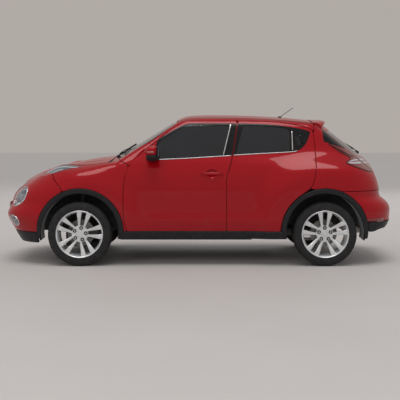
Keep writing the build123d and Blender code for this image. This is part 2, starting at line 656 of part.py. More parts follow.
liners = []
for axle_x, inner_y in ((FRONT_AXLE_X, 640.0), (REAR_AXLE_X, 600.0)):
    with BuildPart() as liner:
        with BuildSketch(Plane.XZ.offset(real_y(inner_y))):
            with Locations((axle_x, ARCH_Z)):
                Circle(ARCH_R - SEAT_FIT)
                Circle(ARCH_R - SEAT_FIT - 5, mode=Mode.SUBTRACT)
            with Locations((axle_x, TRIM_FLOOR - 500)):
                Rectangle(LENGTH, 1000, mode=Mode.SUBTRACT)
        extrude(amount=real_y(845) - real_y(inner_y))
    liners.append(liner.part)
with BuildPart() as wheel_arch_liners:
    for liner_part in liners:
        add(liner_part)
        mirror(liner_part, about=Plane.XZ)
pieces["wheel_arch_liners"] = wheel_arch_liners.part

# ---------------------------------------------------------------- kingpin line of the left front wheel
BALL_Y = WHEEL_Y - 90.0
BALL_Z = TYRE_R - 115.0
lean = np.radians(KNUCKLE_LEAN)


def kingpin(height):
    """Point of the left kingpin line at a height."""
    return (FRONT_AXLE_X, -BALL_Y + (height - BALL_Z) * float(np.tan(lean)), height)


STRUT_TOP_Z = real_z(850)
PIN_R = 10.0
stud = rod(kingpin(STRUT_TOP_Z + 30), kingpin(STRUT_TOP_Z - 24), PIN_R)
ball_stud = rod(kingpin(BALL_Z - 45), kingpin(BALL_Z - 2), PIN_R)

# ---------------------------------------------------------------- underbody: floor, bulkhead, aprons, tail panel
FLOOR_Z = 250.0
FLOOR_WALL = 25.0
BULKHEAD_X = real_x(-815)
HEEL_X = real_x(560)
REAR_FLOOR_Z = 430.0
REAR_FLOOR_HALF = real_y(590)
APRON_Y = real_y(455)
bonnet_stop = slab(deeper(bonnet_face, DOWN, BONNET_DEPTH + 0.4), 60, DOWN,
                   round_outline(Plane.XY, real_x(-1690), real_y(-395), 12))
tower_top = block((FRONT_AXLE_X - 65, FRONT_AXLE_X + 65), (-BALL_Y + 60, -APRON_Y + 5),
                  (STRUT_TOP_Z + 6, STRUT_TOP_Z + 30))
with BuildPart() as tower_left:
    add(tower_top)
    add(block((FRONT_AXLE_X - 65, FRONT_AXLE_X + 65), (-APRON_Y, -APRON_Y + 15), (STRUT_TOP_Z - 60, STRUT_TOP_Z + 30)))
    add(stud)
    add(bonnet_stop)
    add(block((real_x(-1705), real_x(-1675)), (-APRON_Y, -real_y(380)), (real_z(825), real_z(868))))
gate_stop = slab(deeper(gate_face, GATE_IN, GATE_DEPTH + 0.4), 12, GATE_IN,
                 outline(rear_plane, end_points((-200, 700), (200, 700), (200, 745), (-200, 745))))
tail_panel_x = real_x(1905)
with BuildPart() as underbody:
    add(block((BULKHEAD_X, HEEL_X), (-FLOOR_HALF, FLOOR_HALF), (FLOOR_Z, FLOOR_Z + FLOOR_WALL)))
    add(block((BULKHEAD_X, BULKHEAD_X + 20), (-real_y(660), real_y(660)), (FLOOR_Z, real_z(1000))))
    add(block((HEEL_X - 20, HEEL_X), (-FLOOR_HALF, FLOOR_HALF), (FLOOR_Z, REAR_FLOOR_Z)))
    add(block((HEEL_X - 20, real_x(860)), (-FLOOR_HALF, FLOOR_HALF), (REAR_FLOOR_Z - 20, REAR_FLOOR_Z)))
    add(block((real_x(840), tail_panel_x), (-REAR_FLOOR_HALF, REAR_FLOOR_HALF), (REAR_FLOOR_Z - 20, REAR_FLOOR_Z)))
    add(block((tail_panel_x - 15, tail_panel_x), (-real_y(400), real_y(400)), (REAR_FLOOR_Z - 20, real_z(725))))
    add(block((tail_panel_x - 15, tail_panel_x + 15), (-real_y(200), real_y(200)), (real_z(702), real_z(714))))
    add(gate_stop)
    add(block((real_x(-1850), real_x(-1835)), (-APRON_Y, APRON_Y), (330, real_z(750))))
    for side in (-1, 1):
        low, high = sorted((side * APRON_Y, side * (APRON_Y - 15)))
        add(block((real_x(-1785), BULKHEAD_X + 10), (low, high), (330, real_z(850))))
        low, high = sorted((side * APRON_Y, side * (APRON_Y - 70)))
        add(block((real_x(-1850), BULKHEAD_X + 10), (low, high), (330, 440)))
        low, high = sorted((side * REAR_FLOOR_HALF, side * (REAR_FLOOR_HALF - 15)))
        add(block((real_x(860), real_x(1760)), (low, high), (REAR_FLOOR_Z - 20, real_z(800))))
    add(tower_left.part)
    mirror(tower_left.part, about=Plane.XZ)
pieces["underbody"] = underbody.part

# ---------------------------------------------------------------- engine, subframe, rear axle, exhaust, tank
with BuildPart() as engine_block:
    add(block((real_x(-1560), real_x(-1000)), (-330, 330), (330, real_z(800)), 25))
pieces["engine_block"] = engine_block.part

SUBFRAME_TOP = 330.0 - SEAT_FIT
with BuildPart() as left_arm:
    add(block((FRONT_AXLE_X - 60, FRONT_AXLE_X + 120), (-470, -330), (BALL_Z - 60, BALL_Z - 30)))
    add(block((FRONT_AXLE_X - 22, FRONT_AXLE_X + 22), (-BALL_Y - 12, -460), (BALL_Z - 60, BALL_Z - 30)))
    add(ball_stud)
with BuildPart() as front_subframe:
    add(block((real_x(-1420), real_x(-1010)), (-APRON_Y + 5, APRON_Y - 5), (BALL_Z - 60, BALL_Z - 20)))
    for side in (-1, 1):
        add(block((real_x(-1420), real_x(-1360)), (side * 420 - 30, side * 420 + 30), (BALL_Z - 60, SUBFRAME_TOP)))
        add(block((real_x(-1070), real_x(-1010)), (side * 420 - 30, side * 420 + 30), (BALL_Z - 60, SUBFRAME_TOP)))
        add(block((real_x(-1330), real_x(-1100)), (side * 200 - 40, side * 200 + 40), (BALL_Z - 60, SUBFRAME_TOP)))
    add(left_arm.part)
    mirror(left_arm.part, about=Plane.XZ)
pieces["front_subframe"] = front_subframe.part

BEAM_X = REAR_AXLE_X - 130
ARM_Y = real_y(535)
HANGER_TOP = REAR_FLOOR_Z - 20 - SEAT_FIT
with BuildPart() as left_arm_rear:
    add(block((real_x(860), REAR_AXLE_X + 45), (-ARM_Y - 22, -ARM_Y + 22), (TYRE_R - 45, TYRE_R + 25)))
    add(block((real_x(860), real_x(920)), (-ARM_Y - 22, -ARM_Y + 22), (TYRE_R, HANGER_TOP)))
    add(rod((REAR_AXLE_X, -ARM_Y, TYRE_R), (REAR_AXLE_X, -WHEEL_Y + 56, TYRE_R), 50))
    add(rod((REAR_AXLE_X, -ARM_Y - 30, TYRE_R), (REAR_AXLE_X, -WHEEL_Y - SPINDLE_END, TYRE_R), SPINDLE_R))
with BuildPart() as rear_axle:
    add(block((BEAM_X - 30, BEAM_X + 30), (-ARM_Y, ARM_Y), (TYRE_R - 35, TYRE_R + 15)))
    add(left_arm_rear.part)
    mirror(left_arm_rear.part, about=Plane.XZ)
pieces["rear_axle"] = rear_axle.part

with BuildPart() as fuel_tank:
    add(block((real_x(600), real_x(1020)), (-420, 420), (255, REAR_FLOOR_Z - 20 - SEAT_FIT), 20))
pieces["fuel_tank"] = fuel_tank.part

with BuildPart() as exhaust:
    add(block((real_x(1520), real_x(1780)), (-real_y(560), real_y(40)), (270, REAR_FLOOR_Z - 20 - SEAT_FIT), 25))
    add(rod((real_x(1770), real_y(-420), 300), (real_x(1985), real_y(-420), 300), 26))
pieces["exhaust"] = exhaust.part

# ---------------------------------------------------------------- wheels: rim with disc and five double spokes, tyre
BEAD_R = 233.0
HUB_BORE = SPINDLE_R + SEAT_FIT


def axle_plane(x):
    """Plane through the left wheel's axis: across it runs outwards, up it runs away from the axis."""
    return Plane(origin=(x, -WHEEL_Y, TYRE_R), x_dir=(0, -1, 0), z_dir=(-1, 0, 0))


def turned(x, points):
    """Ring turned about the left wheel's axis from a closed (outward, radius) profile."""
    with BuildPart() as ring:
        with BuildSketch(axle_plane(x)):
            with BuildLine():
                Polyline(*points, close=True)
            make_face()
        revolve(axis=Axis((x, -WHEEL_Y, TYRE_R), (0, 1, 0)))
    return ring.part


def rim(x, first_angle):
    half = TYRE_WIDTH / 2
    seat = half - 9
    barrel = turned(x, [(-half, RIM_R), (-seat, RIM_R), (-seat, BEAD_R), (seat, BEAD_R), (seat, RIM_R),
                        (half, RIM_R), (half, RIM_R - 10), (seat, BEAD_R - 8), (-seat, BEAD_R - 8),
                        (-half, RIM_R - 10)])
    hub = turned(x, [(-50, HUB_BORE), (-50, 140), (-28, 140), (-28, 60), (30, 60), (30, 78), (84, 72),
                     (84, 34), (SPINDLE_END + 6, 34), (SPINDLE_END + 6, HUB_BORE)])
    with BuildPart() as spoke:
        with BuildSketch(Plane.XZ.offset(WHEEL_Y + 68)):
            for across in (-19, 19):
                with BuildLine():
                    Polyline((x + across - 10, TYRE_R + 60), (x + across + 10, TYRE_R + 60),
                             (x + 1.9 * across + 9, TYRE_R + BEAD_R - 4), (x + 1.9 * across - 9, TYRE_R + BEAD_R - 4),
                             close=True)
                make_face()
        extrude(amount=28)
    with BuildPart() as wheel:
        add(barrel)
        add(hub)
        for index in range(5):
            turn = first_angle + 72 * index
            add(spoke.part.rotate(Axis((x, 0, TYRE_R), (0, 1, 0)), turn))
    return wheel.part


def tyre(x):
    """Tyre as one shell, open towards the rim, between the rim's flanges."""
    half = TYRE_WIDTH / 2
    bead = half - 9 - SEAT_FIT
    inner = BEAD_R + SEAT_FIT
    outside = [(bead, inner), (bead, RIM_R + 1), (half, inner + 40), (half - 2, TYRE_R - 24),
               (half - 17, TYRE_R - 4), (half - 50, TYRE_R)]
    inside = [(half - 50, TYRE_R - 14), (half - 26, TYRE_R - 17), (half - 14, TYRE_R - 32),
              (half - 12, inner + 40), (bead - 12, inner)]
    far_outside = [(-a, r) for a, r in reversed(outside)]
    far_inside = [(-a, r) for a, r in reversed(inside)]
    return turned(x, [*outside, *far_outside, *far_inside, *inside])


for place, axle_x, first in (("front", FRONT_AXLE_X, 12.0), ("rear", REAR_AXLE_X, 180.0)):
    pieces[f"{place}_rim_left"] = rim(axle_x, first)
    pieces[f"{place}_rim_right"] = mirror(pieces[f"{place}_rim_left"], about=Plane.XZ)
    pieces[f"{place}_tyre_left"] = tyre(axle_x)
    pieces[f"{place}_tyre_right"] = mirror(pieces[f"{place}_tyre_left"], about=Plane.XZ)

# ---------------------------------------------------------------- front knuckles: spindle, strut, calliper
carrier_y = -WHEEL_Y + 100
with BuildPart() as knuckle:
    add(rod((FRONT_AXLE_X, carrier_y + 45, TYRE_R), (FRONT_AXLE_X, -WHEEL_Y + 56, TYRE_R), 50))
    add(rod((FRONT_AXLE_X, carrier_y, TYRE_R), (FRONT_AXLE_X, -WHEEL_Y - SPINDLE_END, TYRE_R), SPINDLE_R))
    add(rod(kingpin(BALL_Z - 20), kingpin(TYRE_R + 60), 24))
    add(rod(kingpin(TYRE_R + 50), kingpin(STRUT_TOP_Z), 20))
    add(block((FRONT_AXLE_X, FRONT_AXLE_X + 160), (-WHEEL_Y + 58, -WHEEL_Y + 105), (TYRE_R - 20, TYRE_R + 20)))
    add(block((FRONT_AXLE_X + 92, FRONT_AXLE_X + 172), (-WHEEL_Y + 10, -WHEEL_Y + 75), (TYRE_R - 55, TYRE_R + 55)))
    with BuildSketch(Plane.XZ.offset(WHEEL_Y - 57)):
        with Locations((FRONT_AXLE_X, TYRE_R)):
            Circle(147)
    extrude(amount=36, mode=Mode.SUBTRACT)
    add(rod((FRONT_AXLE_X, carrier_y, TYRE_R), (FRONT_AXLE_X, -WHEEL_Y - SPINDLE_END, TYRE_R), SPINDLE_R))
    add(rod(kingpin(STRUT_TOP_Z - 25), kingpin(STRUT_TOP_Z + 40), PIN_R + SEAT_FIT), mode=Mode.SUBTRACT)
    add(rod(kingpin(BALL_Z - 60), kingpin(BALL_Z - 1), PIN_R + SEAT_FIT), mode=Mode.SUBTRACT)
pieces["front_knuckle_left"] = knuckle.part
pieces["front_knuckle_right"] = mirror(knuckle.part, about=Plane.XZ)

COLUMN_DIR = Vector(0.9, 0, 0.43).normalized()
WHEEL_HUB = (real_x(-330), -real_y(360), real_z(960))
COLUMN_START = tuple(Vector(*WHEEL_HUB) - COLUMN_DIR * 290.0)
COLUMN_END = tuple(Vector(*WHEEL_HUB) - COLUMN_DIR * 1.0)

# ---------------------------------------------------------------- cabin: seats, dashboard, steering wheel
SEAT_X = real_x(60)
FLOOR_TOP = FLOOR_Z + FLOOR_WALL + SEAT_FIT


def seat(x, y, half, base_z, back_top, base_depth):
    """Cushion on its base, raked backrest and headrest."""
    with BuildPart() as body_part:
        add(block((x - 260, x + 250), (y - half, y + half), (base_z, base_z + base_depth), 30))
        with BuildSketch(Plane.XZ.offset(-(y - half))):
            with BuildLine():
                Polyline((x + 150, base_z + 60), (x + 265, base_z + 60), (x + 430, back_top), (x + 340, back_top),
                         close=True)
            make_face()
        extrude(amount=-2 * half)
    return body_part.part


with BuildPart() as driver_seat:
    add(seat(SEAT_X, -real_y(360), 245, FLOOR_TOP, real_z(1130), 270))
    add(block((SEAT_X + 370, SEAT_X + 450), (-real_y(360) - 120, -real_y(360) + 120),
              (real_z(1100), real_z(1290)), 25))
pieces["front_seats"] = both_hands(driver_seat.part)
with BuildPart() as rear_bench:
    add(seat(real_x(870), 0.0, REAR_FLOOR_HALF - 20, REAR_FLOOR_Z + SEAT_FIT, real_z(1090), 160))
pieces["rear_bench"] = rear_bench.part

DASH_X = BULKHEAD_X + 20 + SEAT_FIT
with BuildPart() as dashboard:
    with BuildSketch(Plane.XZ.offset(-real_y(640))):
        with BuildLine():
            Polyline((DASH_X, real_z(700)), (DASH_X + 130, real_z(700)), (DASH_X + 330, real_z(880)),
                     (DASH_X + 340, real_z(1010)), (DASH_X + 210, real_z(1062)), (DASH_X, real_z(985)), close=True)
        make_face()
    extrude(amount=2 * real_y(640))
    add(block((DASH_X + 120, DASH_X + 760), (-110, 110), (FLOOR_TOP, real_z(560)), 15))
    add(block((DASH_X + 60, DASH_X + 220), (-110, 110), (real_z(500), real_z(760))))
    add(rod(COLUMN_START, COLUMN_END, COLUMN_R))
pieces["dashboard"] = dashboard.part

with BuildPart() as steering_wheel:
    with BuildSketch(Plane(origin=WHEEL_HUB, x_dir=(0, 1, 0), z_dir=COLUMN_DIR)):
        Circle(55)
        Rectangle(350, 34)
        with Locations((0, -90)):
            Rectangle(34, 180)
    extrude(amount=12, both=True)
    with BuildSketch(Plane(origin=WHEEL_HUB, x_dir=COLUMN_DIR, z_dir=(0, 1, 0))):
        with Locations((0, 175)):
            Circle(15)
    revolve(axis=Axis(WHEEL_HUB, COLUMN_DIR))
    with BuildSketch(Plane(origin=WHEEL_HUB, z_dir=COLUMN_DIR)):
        Circle(COLUMN_R + SEAT_FIT)
    extrude(amount=-20, mode=Mode.SUBTRACT)
pieces["steering_wheel"] = steering_wheel.part

# ---------------------------------------------------------------- aerial
AERIAL_X = real_x(912)
aerial_z = float(real_z(1540))
with BuildPart() as antenna:
    add(slab(deeper(roof_face, DOWN, -12 - SEAT_FIT), 12, DOWN, round_outline(Plane.XY, AERIAL_X, 0, 20)))
    add(rod((AERIAL_X, 0, aerial_z + 5), (AERIAL_X + 150, 0, aerial_z + 110), 3))
pieces["antenna"] = antenna.part

for name, piece in pieces.items():
    piece.label = name
    export_step(piece, f"parts/{name}.step")

print("front door hinge", FRONT_HINGE_X, FRONT_HINGE_Y)
print("rear door hinge", REAR_HINGE_X, REAR_HINGE_Y)
print("kingpin", kingpin(BALL_Z), kingpin(STRUT_TOP_Z))
print("steering column", WHEEL_HUB, COLUMN_DIR)
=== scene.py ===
"""Subcompact crossover car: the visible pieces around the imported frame, laid out as an add-on."""

import math

import bpy
import numpy as np
from mathutils.geometry import delaunay_2d_cdt
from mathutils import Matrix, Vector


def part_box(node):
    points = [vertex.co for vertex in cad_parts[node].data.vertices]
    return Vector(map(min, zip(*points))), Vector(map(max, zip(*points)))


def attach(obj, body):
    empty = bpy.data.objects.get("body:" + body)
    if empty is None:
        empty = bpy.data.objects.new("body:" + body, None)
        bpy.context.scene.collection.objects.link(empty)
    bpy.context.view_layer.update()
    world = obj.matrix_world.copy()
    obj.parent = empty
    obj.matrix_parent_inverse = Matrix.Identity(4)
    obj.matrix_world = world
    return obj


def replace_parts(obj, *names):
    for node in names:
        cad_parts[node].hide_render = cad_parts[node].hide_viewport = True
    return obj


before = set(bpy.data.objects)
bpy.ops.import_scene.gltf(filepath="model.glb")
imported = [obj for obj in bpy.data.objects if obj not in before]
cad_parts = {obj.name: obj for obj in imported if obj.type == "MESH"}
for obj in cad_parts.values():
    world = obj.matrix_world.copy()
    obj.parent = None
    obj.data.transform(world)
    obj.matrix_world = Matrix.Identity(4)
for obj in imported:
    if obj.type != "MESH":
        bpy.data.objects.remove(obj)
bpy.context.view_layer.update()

bl_info = {
    "name": "Subcompact crossover car",
    "version": (1, 0, 0),
    "blender": (4, 5, 0),
    "location": "View3D > Sidebar > Crossover",
    "description": "Builds the visible pieces of a small five-door crossover car around its packed frame",
    "category": "Add Mesh",
}

SIDES = (("left", -1), ("right", 1))


def middle(node):
    low, high = (np.array(corner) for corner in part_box(node))
    return (low + high) / 2


FRONT_HUB = middle("front_tyre_left")
REAR_HUB = middle("rear_tyre_left")
TYRE_R = float(FRONT_HUB[2])
FRONT_X, REAR_X = -1.2225, 1.3075
ARCH_Z = 0.347
ARCH_R = 0.402
TRIM_R = 0.452
FRONT_ARCH_CUT = 0.4525
REAR_ARCH_CUT = 0.453
QUARTER_ARCH_CUT = 0.4535
DOOR_ARCH_CUT = 0.459
NUT_CIRCLE = 0.0625
WING_LINE = 0.769

# ---------------------------------------------------------------- the body surface
SECTION = ((0.2, 0.77), (0.36, 0.826), (0.55, 0.843), (0.78, 0.852), (0.95, 0.838), (1.05, 0.81),
           (1.14, 0.768), (1.3, 0.694), (1.5, 0.598), (1.65, 0.52))
NOSE = ((0.1, -1.8), (0.22, -1.905), (0.38, -2.005), (0.52, -2.0675), (0.61, -2.048),
        (0.71, -2.022), (0.78, -1.97), (0.86, -1.875), (0.95, -1.75))
TAIL = ((0.2, 1.95), (0.36, 2.045), (0.5, 2.0675), (0.6, 2.062), (0.655, 2.02),
        (0.7, 1.966), (0.76, 1.955), (0.92, 1.918), (1.06, 1.893), (1.25, 1.85))


def natural_bends(knots):
    """Second derivatives of the natural cubic spline through (place, value) knots."""
    x, y = np.array(knots).T
    h = np.diff(x)
    n = len(x)
    matrix = np.eye(n)
    right = np.zeros(n)
    inner = np.arange(1, n - 1)
    matrix[inner, inner - 1] = h[:-1]
    matrix[inner, inner] = 2 * (h[:-1] + h[1:])
    matrix[inner, inner + 1] = h[1:]
    right[inner] = 6 * (np.diff(y)[1:] / h[1:] - np.diff(y)[:-1] / h[:-1])
    return x, y, h, np.linalg.solve(matrix, right)


KNOTS = {name: natural_bends(knots) for name, knots in (("section", SECTION), ("nose", NOSE), ("tail", TAIL))}


def spline(name, at):
    """Natural cubic spline at a place, straight beyond its end knots."""
    x, y, h, bend = KNOTS[name]
    i = np.clip(np.searchsorted(x, at) - 1, 0, len(x) - 2)
    inside = np.clip(at, x[0], x[-1])
    u = inside - x[i]
    v = x[i + 1] - inside
    cubic = (bend[i] * v**3 + bend[i + 1] * u**3) / (6 * h[i])
    line = (y[i] / h[i] - bend[i] * h[i] / 6) * v + (y[i + 1] / h[i] - bend[i + 1] * h[i] / 6) * u
    first = (y[1] - y[0]) / h[0] - h[0] * bend[1] / 6
    last = (y[-1] - y[-2]) / h[-1] + h[-1] * bend[-2] / 6
    return cubic + line + np.minimum(at - x[0], 0) * first + np.maximum(at - x[-1], 0) * last


def smooth_max(a, b, width):
    """Larger of two values with a soft change: width times the log of the sum of both exponentials."""
    return width * np.logaddexp(a / width, b / width)


def smooth_min(a, b, width):
    return -smooth_max(-a, -b, width)


def ease(t):
    """Smooth step from 0 to 1: six t to the fifth, less fifteen t to the fourth, plus ten t cubed."""
    t = np.clip(t, 0, 1)
    return t**3 * (t * (6 * t - 15) + 10)


def bulge(x, z, centre_x, centre_z, inner, outer):
    """1 within the inner radius of a centre in side view, easing to 0 at the outer one."""
    return ease((outer - np.hypot(x - centre_x, z - centre_z)) / (outer - inner))


def half_width(x, z):
    """Half the car's width: the upright section spline, less a plan curve, plus a bulge over each wheel."""
    width = spline("section", z) - 0.0115 * np.abs(x - 0.1) ** 2.5
    width = width - ease((z - 0.95) / 0.25) * np.where(x > 0, 0.03, 0.02) * x**2
    width = width + 0.04 * bulge(x, z, FRONT_X, 0.4, 0.42, 0.72)
    width = width + 0.052 * bulge(x, z, REAR_X, 0.42, 0.5, 0.84)
    crease = np.exp(-(((z - 0.465) / 0.07) ** 2)) * ease((x + 0.75) / 0.4) * ease((0.95 - x) / 0.4)
    return width + 0.008 * crease


def roof_at(x, y):
    """Height of the roof's sheet, a paraboloid."""
    return 1.568 - 0.0512 * (x - 0.19) ** 2 - 0.14 * y**2


def top(x, y):
    """Height of bonnet, screen, roof and rear window: smooth minimum and maximum of four sloping sheets."""
    ahead = np.maximum(-(x + 0.88), 0)
    behind = np.maximum(x + 0.88, 0)
    bonnet = 1.12 - 0.12 * ahead - 0.1 * ahead**2 - 0.1 * y**2 - 0.5 * behind
    lamp = np.exp(-(((np.abs(y) - 0.6) / 0.11) ** 2)) * np.exp(-(((x + 1.52) / 0.24) ** 2))
    screen = 1.116 + (x - 0.186 * y**2 + 0.88) * 0.615
    roof = roof_at(x, y)
    rear = 1.455 - 0.79 * (x + 0.474 * y**2 - 1.385)
    upper = smooth_min(smooth_min(screen, roof, 0.022), rear, 0.012)
    return smooth_max(bonnet + 0.06 * lamp, upper, 0.008)


def body(p):
    """About the distance outside the skin at points (..., 3): smooth maximum of side, top, nose and tail."""
    x, y, z = p[..., 0], np.abs(p[..., 1]), p[..., 2]
    blend = 0.02 + 0.028 * ease((-0.75 - x) / 0.5) + 0.015 * ease((x - 1.2) / 0.4)
    shell = smooth_max(y - half_width(x, z), z - top(x, y), blend)
    nose = spline("nose", z) + 0.45 * y**4 + 0.55 * y**6
    nose = nose + 0.055 * ease((y - 0.06) / 0.5) * ease((z - 0.48) / 0.22)
    tail = spline("tail", z) - 0.35 * y**4 - 0.35 * y**6
    return smooth_max(shell, np.maximum(nose - x, x - tail), 0.028)


def outward(p):
    """Unit gradient of the body function, by central differences."""
    step = 0.0008
    g = np.stack([body(p + step * np.eye(3)[k]) - body(p - step * np.eye(3)[k]) for k in range(3)], axis=-1)
    return g / np.linalg.norm(g, axis=-1, keepdims=True)


def cast(origin, direction):
    """Points where rays from inside leave the skin, by halving."""
    near = np.zeros(origin.shape[:-1])
    far = np.full(origin.shape[:-1], 2.6)
    for _ in range(28):
        half = (near + far) / 2
        within = body(origin + direction * half[..., None]) < 0
        near = np.where(within, half, near)
        far = np.where(within, far, half)
    return origin + direction * near[..., None]


def turns(count):
    """Angles evenly round a full turn."""
    return np.linspace(0, 2 * np.pi, count, endpoint=False)


def columns(*parts):
    """Points from their coordinates, brought to one shape."""
    shape = np.broadcast(*parts).shape
    return np.stack([np.broadcast_to(part, shape).astype(float) for part in parts], axis=-1)


# ---------------------------------------------------------------- charts: flat coordinates of the skin
def side_chart(uv):
    """Side view: along the car and up."""
    u, v = uv[..., 0], uv[..., 1]
    return cast(columns(u, 0 * u, v), np.array([0.0, -1.0, 0.0]))


def side_flat(p):
    return p[..., [0, 2]]


def plan_chart(uv):
    """Top view: along the car and across."""
    u, v = uv[..., 0], uv[..., 1]
    return cast(columns(u, v, 0 * u + 0.62), np.array([0.0, 0.0, 1.0]))


def plan_flat(p):
    return p[..., [0, 1]]


def shoulder_chart(uv):
    """Along the car, and the angle about a line 0.66 m up, times 0.8."""
    u, a = uv[..., 0], uv[..., 1] / 0.8
    return cast(columns(u, 0 * u, 0 * u + 0.66), columns(0 * a, -np.cos(a), np.sin(a)))


def shoulder_flat(p):
    return np.stack([p[..., 0], 0.8 * np.arctan2(p[..., 2] - 0.66, -p[..., 1])], axis=-1)


def nose_chart(uv):
    """Angle about an upright line behind the nose, times 0.75, and height."""
    a, v = uv[..., 0] / 0.75, uv[..., 1]
    return cast(columns(-1.35, 0 * a, v), columns(-np.cos(a), -np.sin(a), 0 * a))


def nose_flat(p):
    return np.stack([0.75 * np.arctan2(-p[..., 1], -1.35 - p[..., 0]), p[..., 2]], axis=-1)


def tail_chart(uv):
    """Angle about an upright line ahead of the tail, times 0.85, and height."""
    a, v = uv[..., 0] / 0.85, uv[..., 1]
    return cast(columns(1.1, 0 * a, v), columns(np.cos(a), -np.sin(a), 0 * a))


def tail_flat(p):
    return np.stack([0.85 * np.arctan2(-p[..., 1], p[..., 0] - 1.1), p[..., 2]], axis=-1)


def gate_chart(uv):
    """Across the car, and the angle about a crosswise line inside the tail, times 0.8."""
    u, a = uv[..., 0], uv[..., 1] / 0.8
    return cast(columns(1.0, u, 0 * a + 0.9), columns(np.cos(a), 0 * a, np.sin(a)))


def gate_flat(p):
    return np.stack([p[..., 1], 0.8 * np.arctan2(p[..., 2] - 0.9, p[..., 0] - 1.0)], axis=-1)


SIDE = (side_chart, side_flat)
PLAN = (plan_chart, plan_flat)
SHOULDER = (shoulder_chart, shoulder_flat)
NOSE_END = (nose_chart, nose_flat)
TAIL_END = (tail_chart, tail_flat)
GATE = (gate_chart, gate_flat)


# ---------------------------------------------------------------- lines on the skin
def mm(*pairs):
    return np.array(pairs, dtype=float) / 1000


def even(points, step=0.012, closed=False):
    """Points spaced evenly along a broken line."""
    points = np.asarray(points, dtype=float)
    if closed:
        points = np.vstack([points, points[:1]])
    run = np.concatenate([[0], np.cumsum(np.linalg.norm(np.diff(points, axis=0), axis=1))])
    count = max(2, int(round(run[-1] / step)) + 1)
    at = np.linspace(0, run[-1], count)
    out = np.stack([np.interp(at, run, points[:, k]) for k in range(points.shape[1])], axis=-1)
    return out[:-1] if closed else out


def curve(*pairs, step=0.012):
    """Catmull-Rom curve through points given in millimetres, spaced evenly."""
    p = mm(*pairs)
    if len(p) < 3:
        return even(p, step)
    p = np.vstack([2 * p[0] - p[1], p, 2 * p[-1] - p[-2]])
    t = np.linspace(0, 1, 16, endpoint=False)[:, None]
    spans = []
    for a, b, c, d in zip(p[:-3], p[1:-2], p[2:-1], p[3:]):
        square, cube = a - 2.5 * b + 2 * c - d / 2, 1.5 * (b - c) + (d - a) / 2
        spans.append(b + t * (c - a) / 2 + t**2 * square + t**3 * cube)
    return even(np.vstack([*spans, p[-2:-1]]), step)


def arc(centre_x, radius, start, end):
    """Arc in side view about a wheel arch's centre, from start to end degrees, anticlockwise from +X."""
    count = max(3, int(abs(math.radians(end - start)) * radius / 0.012) + 1)
    a = np.radians(np.linspace(start, end, count))
    return columns(centre_x + radius * np.cos(a), ARCH_Z + radius * np.sin(a))


def seen_side(points):
    """Points of the left view, (along, up), sent sideways to the skin."""
    return side_chart(np.asarray(points))


def seen_top(points):
    """Points of the top view, (along, across), sent upwards to the skin."""
    return plan_chart(np.asarray(points))


def seen_front(points):
    """Points of the front view, (across, up), sent forwards to the skin."""
    points = np.asarray(points)
    return cast(columns(-1.2, points[:, 0], points[:, 1]), np.array([-1.0, 0.0, 0.0]))


def seen_back(points):
    """Points of the back view, (across, up), sent backwards to the skin."""
    points = np.asarray(points)
    return cast(columns(1.0, points[:, 0], points[:, 1]), np.array([1.0, 0.0, 0.0]))


def signed_area(loop):
    """Twice the area inside a closed loop; positive if it runs anticlockwise."""
    return np.sum(loop[:, 0] * np.roll(loop[:, 1], -1) - np.roll(loop[:, 0], -1) * loop[:, 1])


def shifted(loop, amount):
    """A closed loop moved inwards by amount (outwards if negative), along the mean of its edges' normals."""
    ahead = np.roll(loop, -1, axis=0) - loop
    behind = loop - np.roll(loop, 1, axis=0)
    tangent = unit(ahead) + unit(behind)
    length = np.maximum(np.linalg.norm(tangent, axis=1, keepdims=True), 0.5)
    normal = np.stack([-tangent[:, 1], tangent[:, 0]], axis=-1) / length
    turn = np.maximum(length / 2, 0.55)
    return loop + normal * amount * np.sign(signed_area(loop)) / turn


def softened(loop, passes):
    """A closed loop blended with its two neighbours, a half and two quarters, some number of times."""
    for _ in range(passes):
        loop = loop / 2 + (np.roll(loop, 1, axis=0) + np.roll(loop, -1, axis=0)) / 4
    return loop


def settled(flat, step, passes, room=0.0):
    """A closed loop spaced evenly, made to run anticlockwise, softened, and moved inwards by room."""
    flat = even(flat, step, closed=True)
    flat = softened(flat if signed_area(flat) > 0 else flat[::-1], passes)
    return shifted(flat, room) if room else flat


def inside(points, loop):
    """Whether points lie inside a loop, by counting crossings."""
    a = loop
    b = np.roll(loop, -1, axis=0)
    x, y = points[:, :1], points[:, 1:]
    rise = b[:, 1] - a[:, 1]
    rise = np.where(np.abs(rise) < 1e-12, 1e-12, rise)
    crosses = ((a[:, 1] > y) != (b[:, 1] > y)) & (x < a[:, 0] + (y - a[:, 1]) * (b[:, 0] - a[:, 0]) / rise)
    return crosses.sum(axis=1) % 2 == 1


def edge_distance(points, loops):
    """Distance from points to the nearest edge of some loops."""
    best = np.full(len(points), 9.0)
    for loop in loops:
        a = loop
        b = np.roll(loop, -1, axis=0) - a
        for part in np.array_split(np.arange(len(points)), max(1, len(points) // 2000)):
            q = points[part][:, None] - a[None]
            t = np.clip((q * b).sum(-1) / np.maximum((b * b).sum(-1), 1e-12), 0, 1)
            best[part] = np.minimum(best[part], np.linalg.norm(q - t[..., None] * b, axis=-1).min(axis=1))
    return best


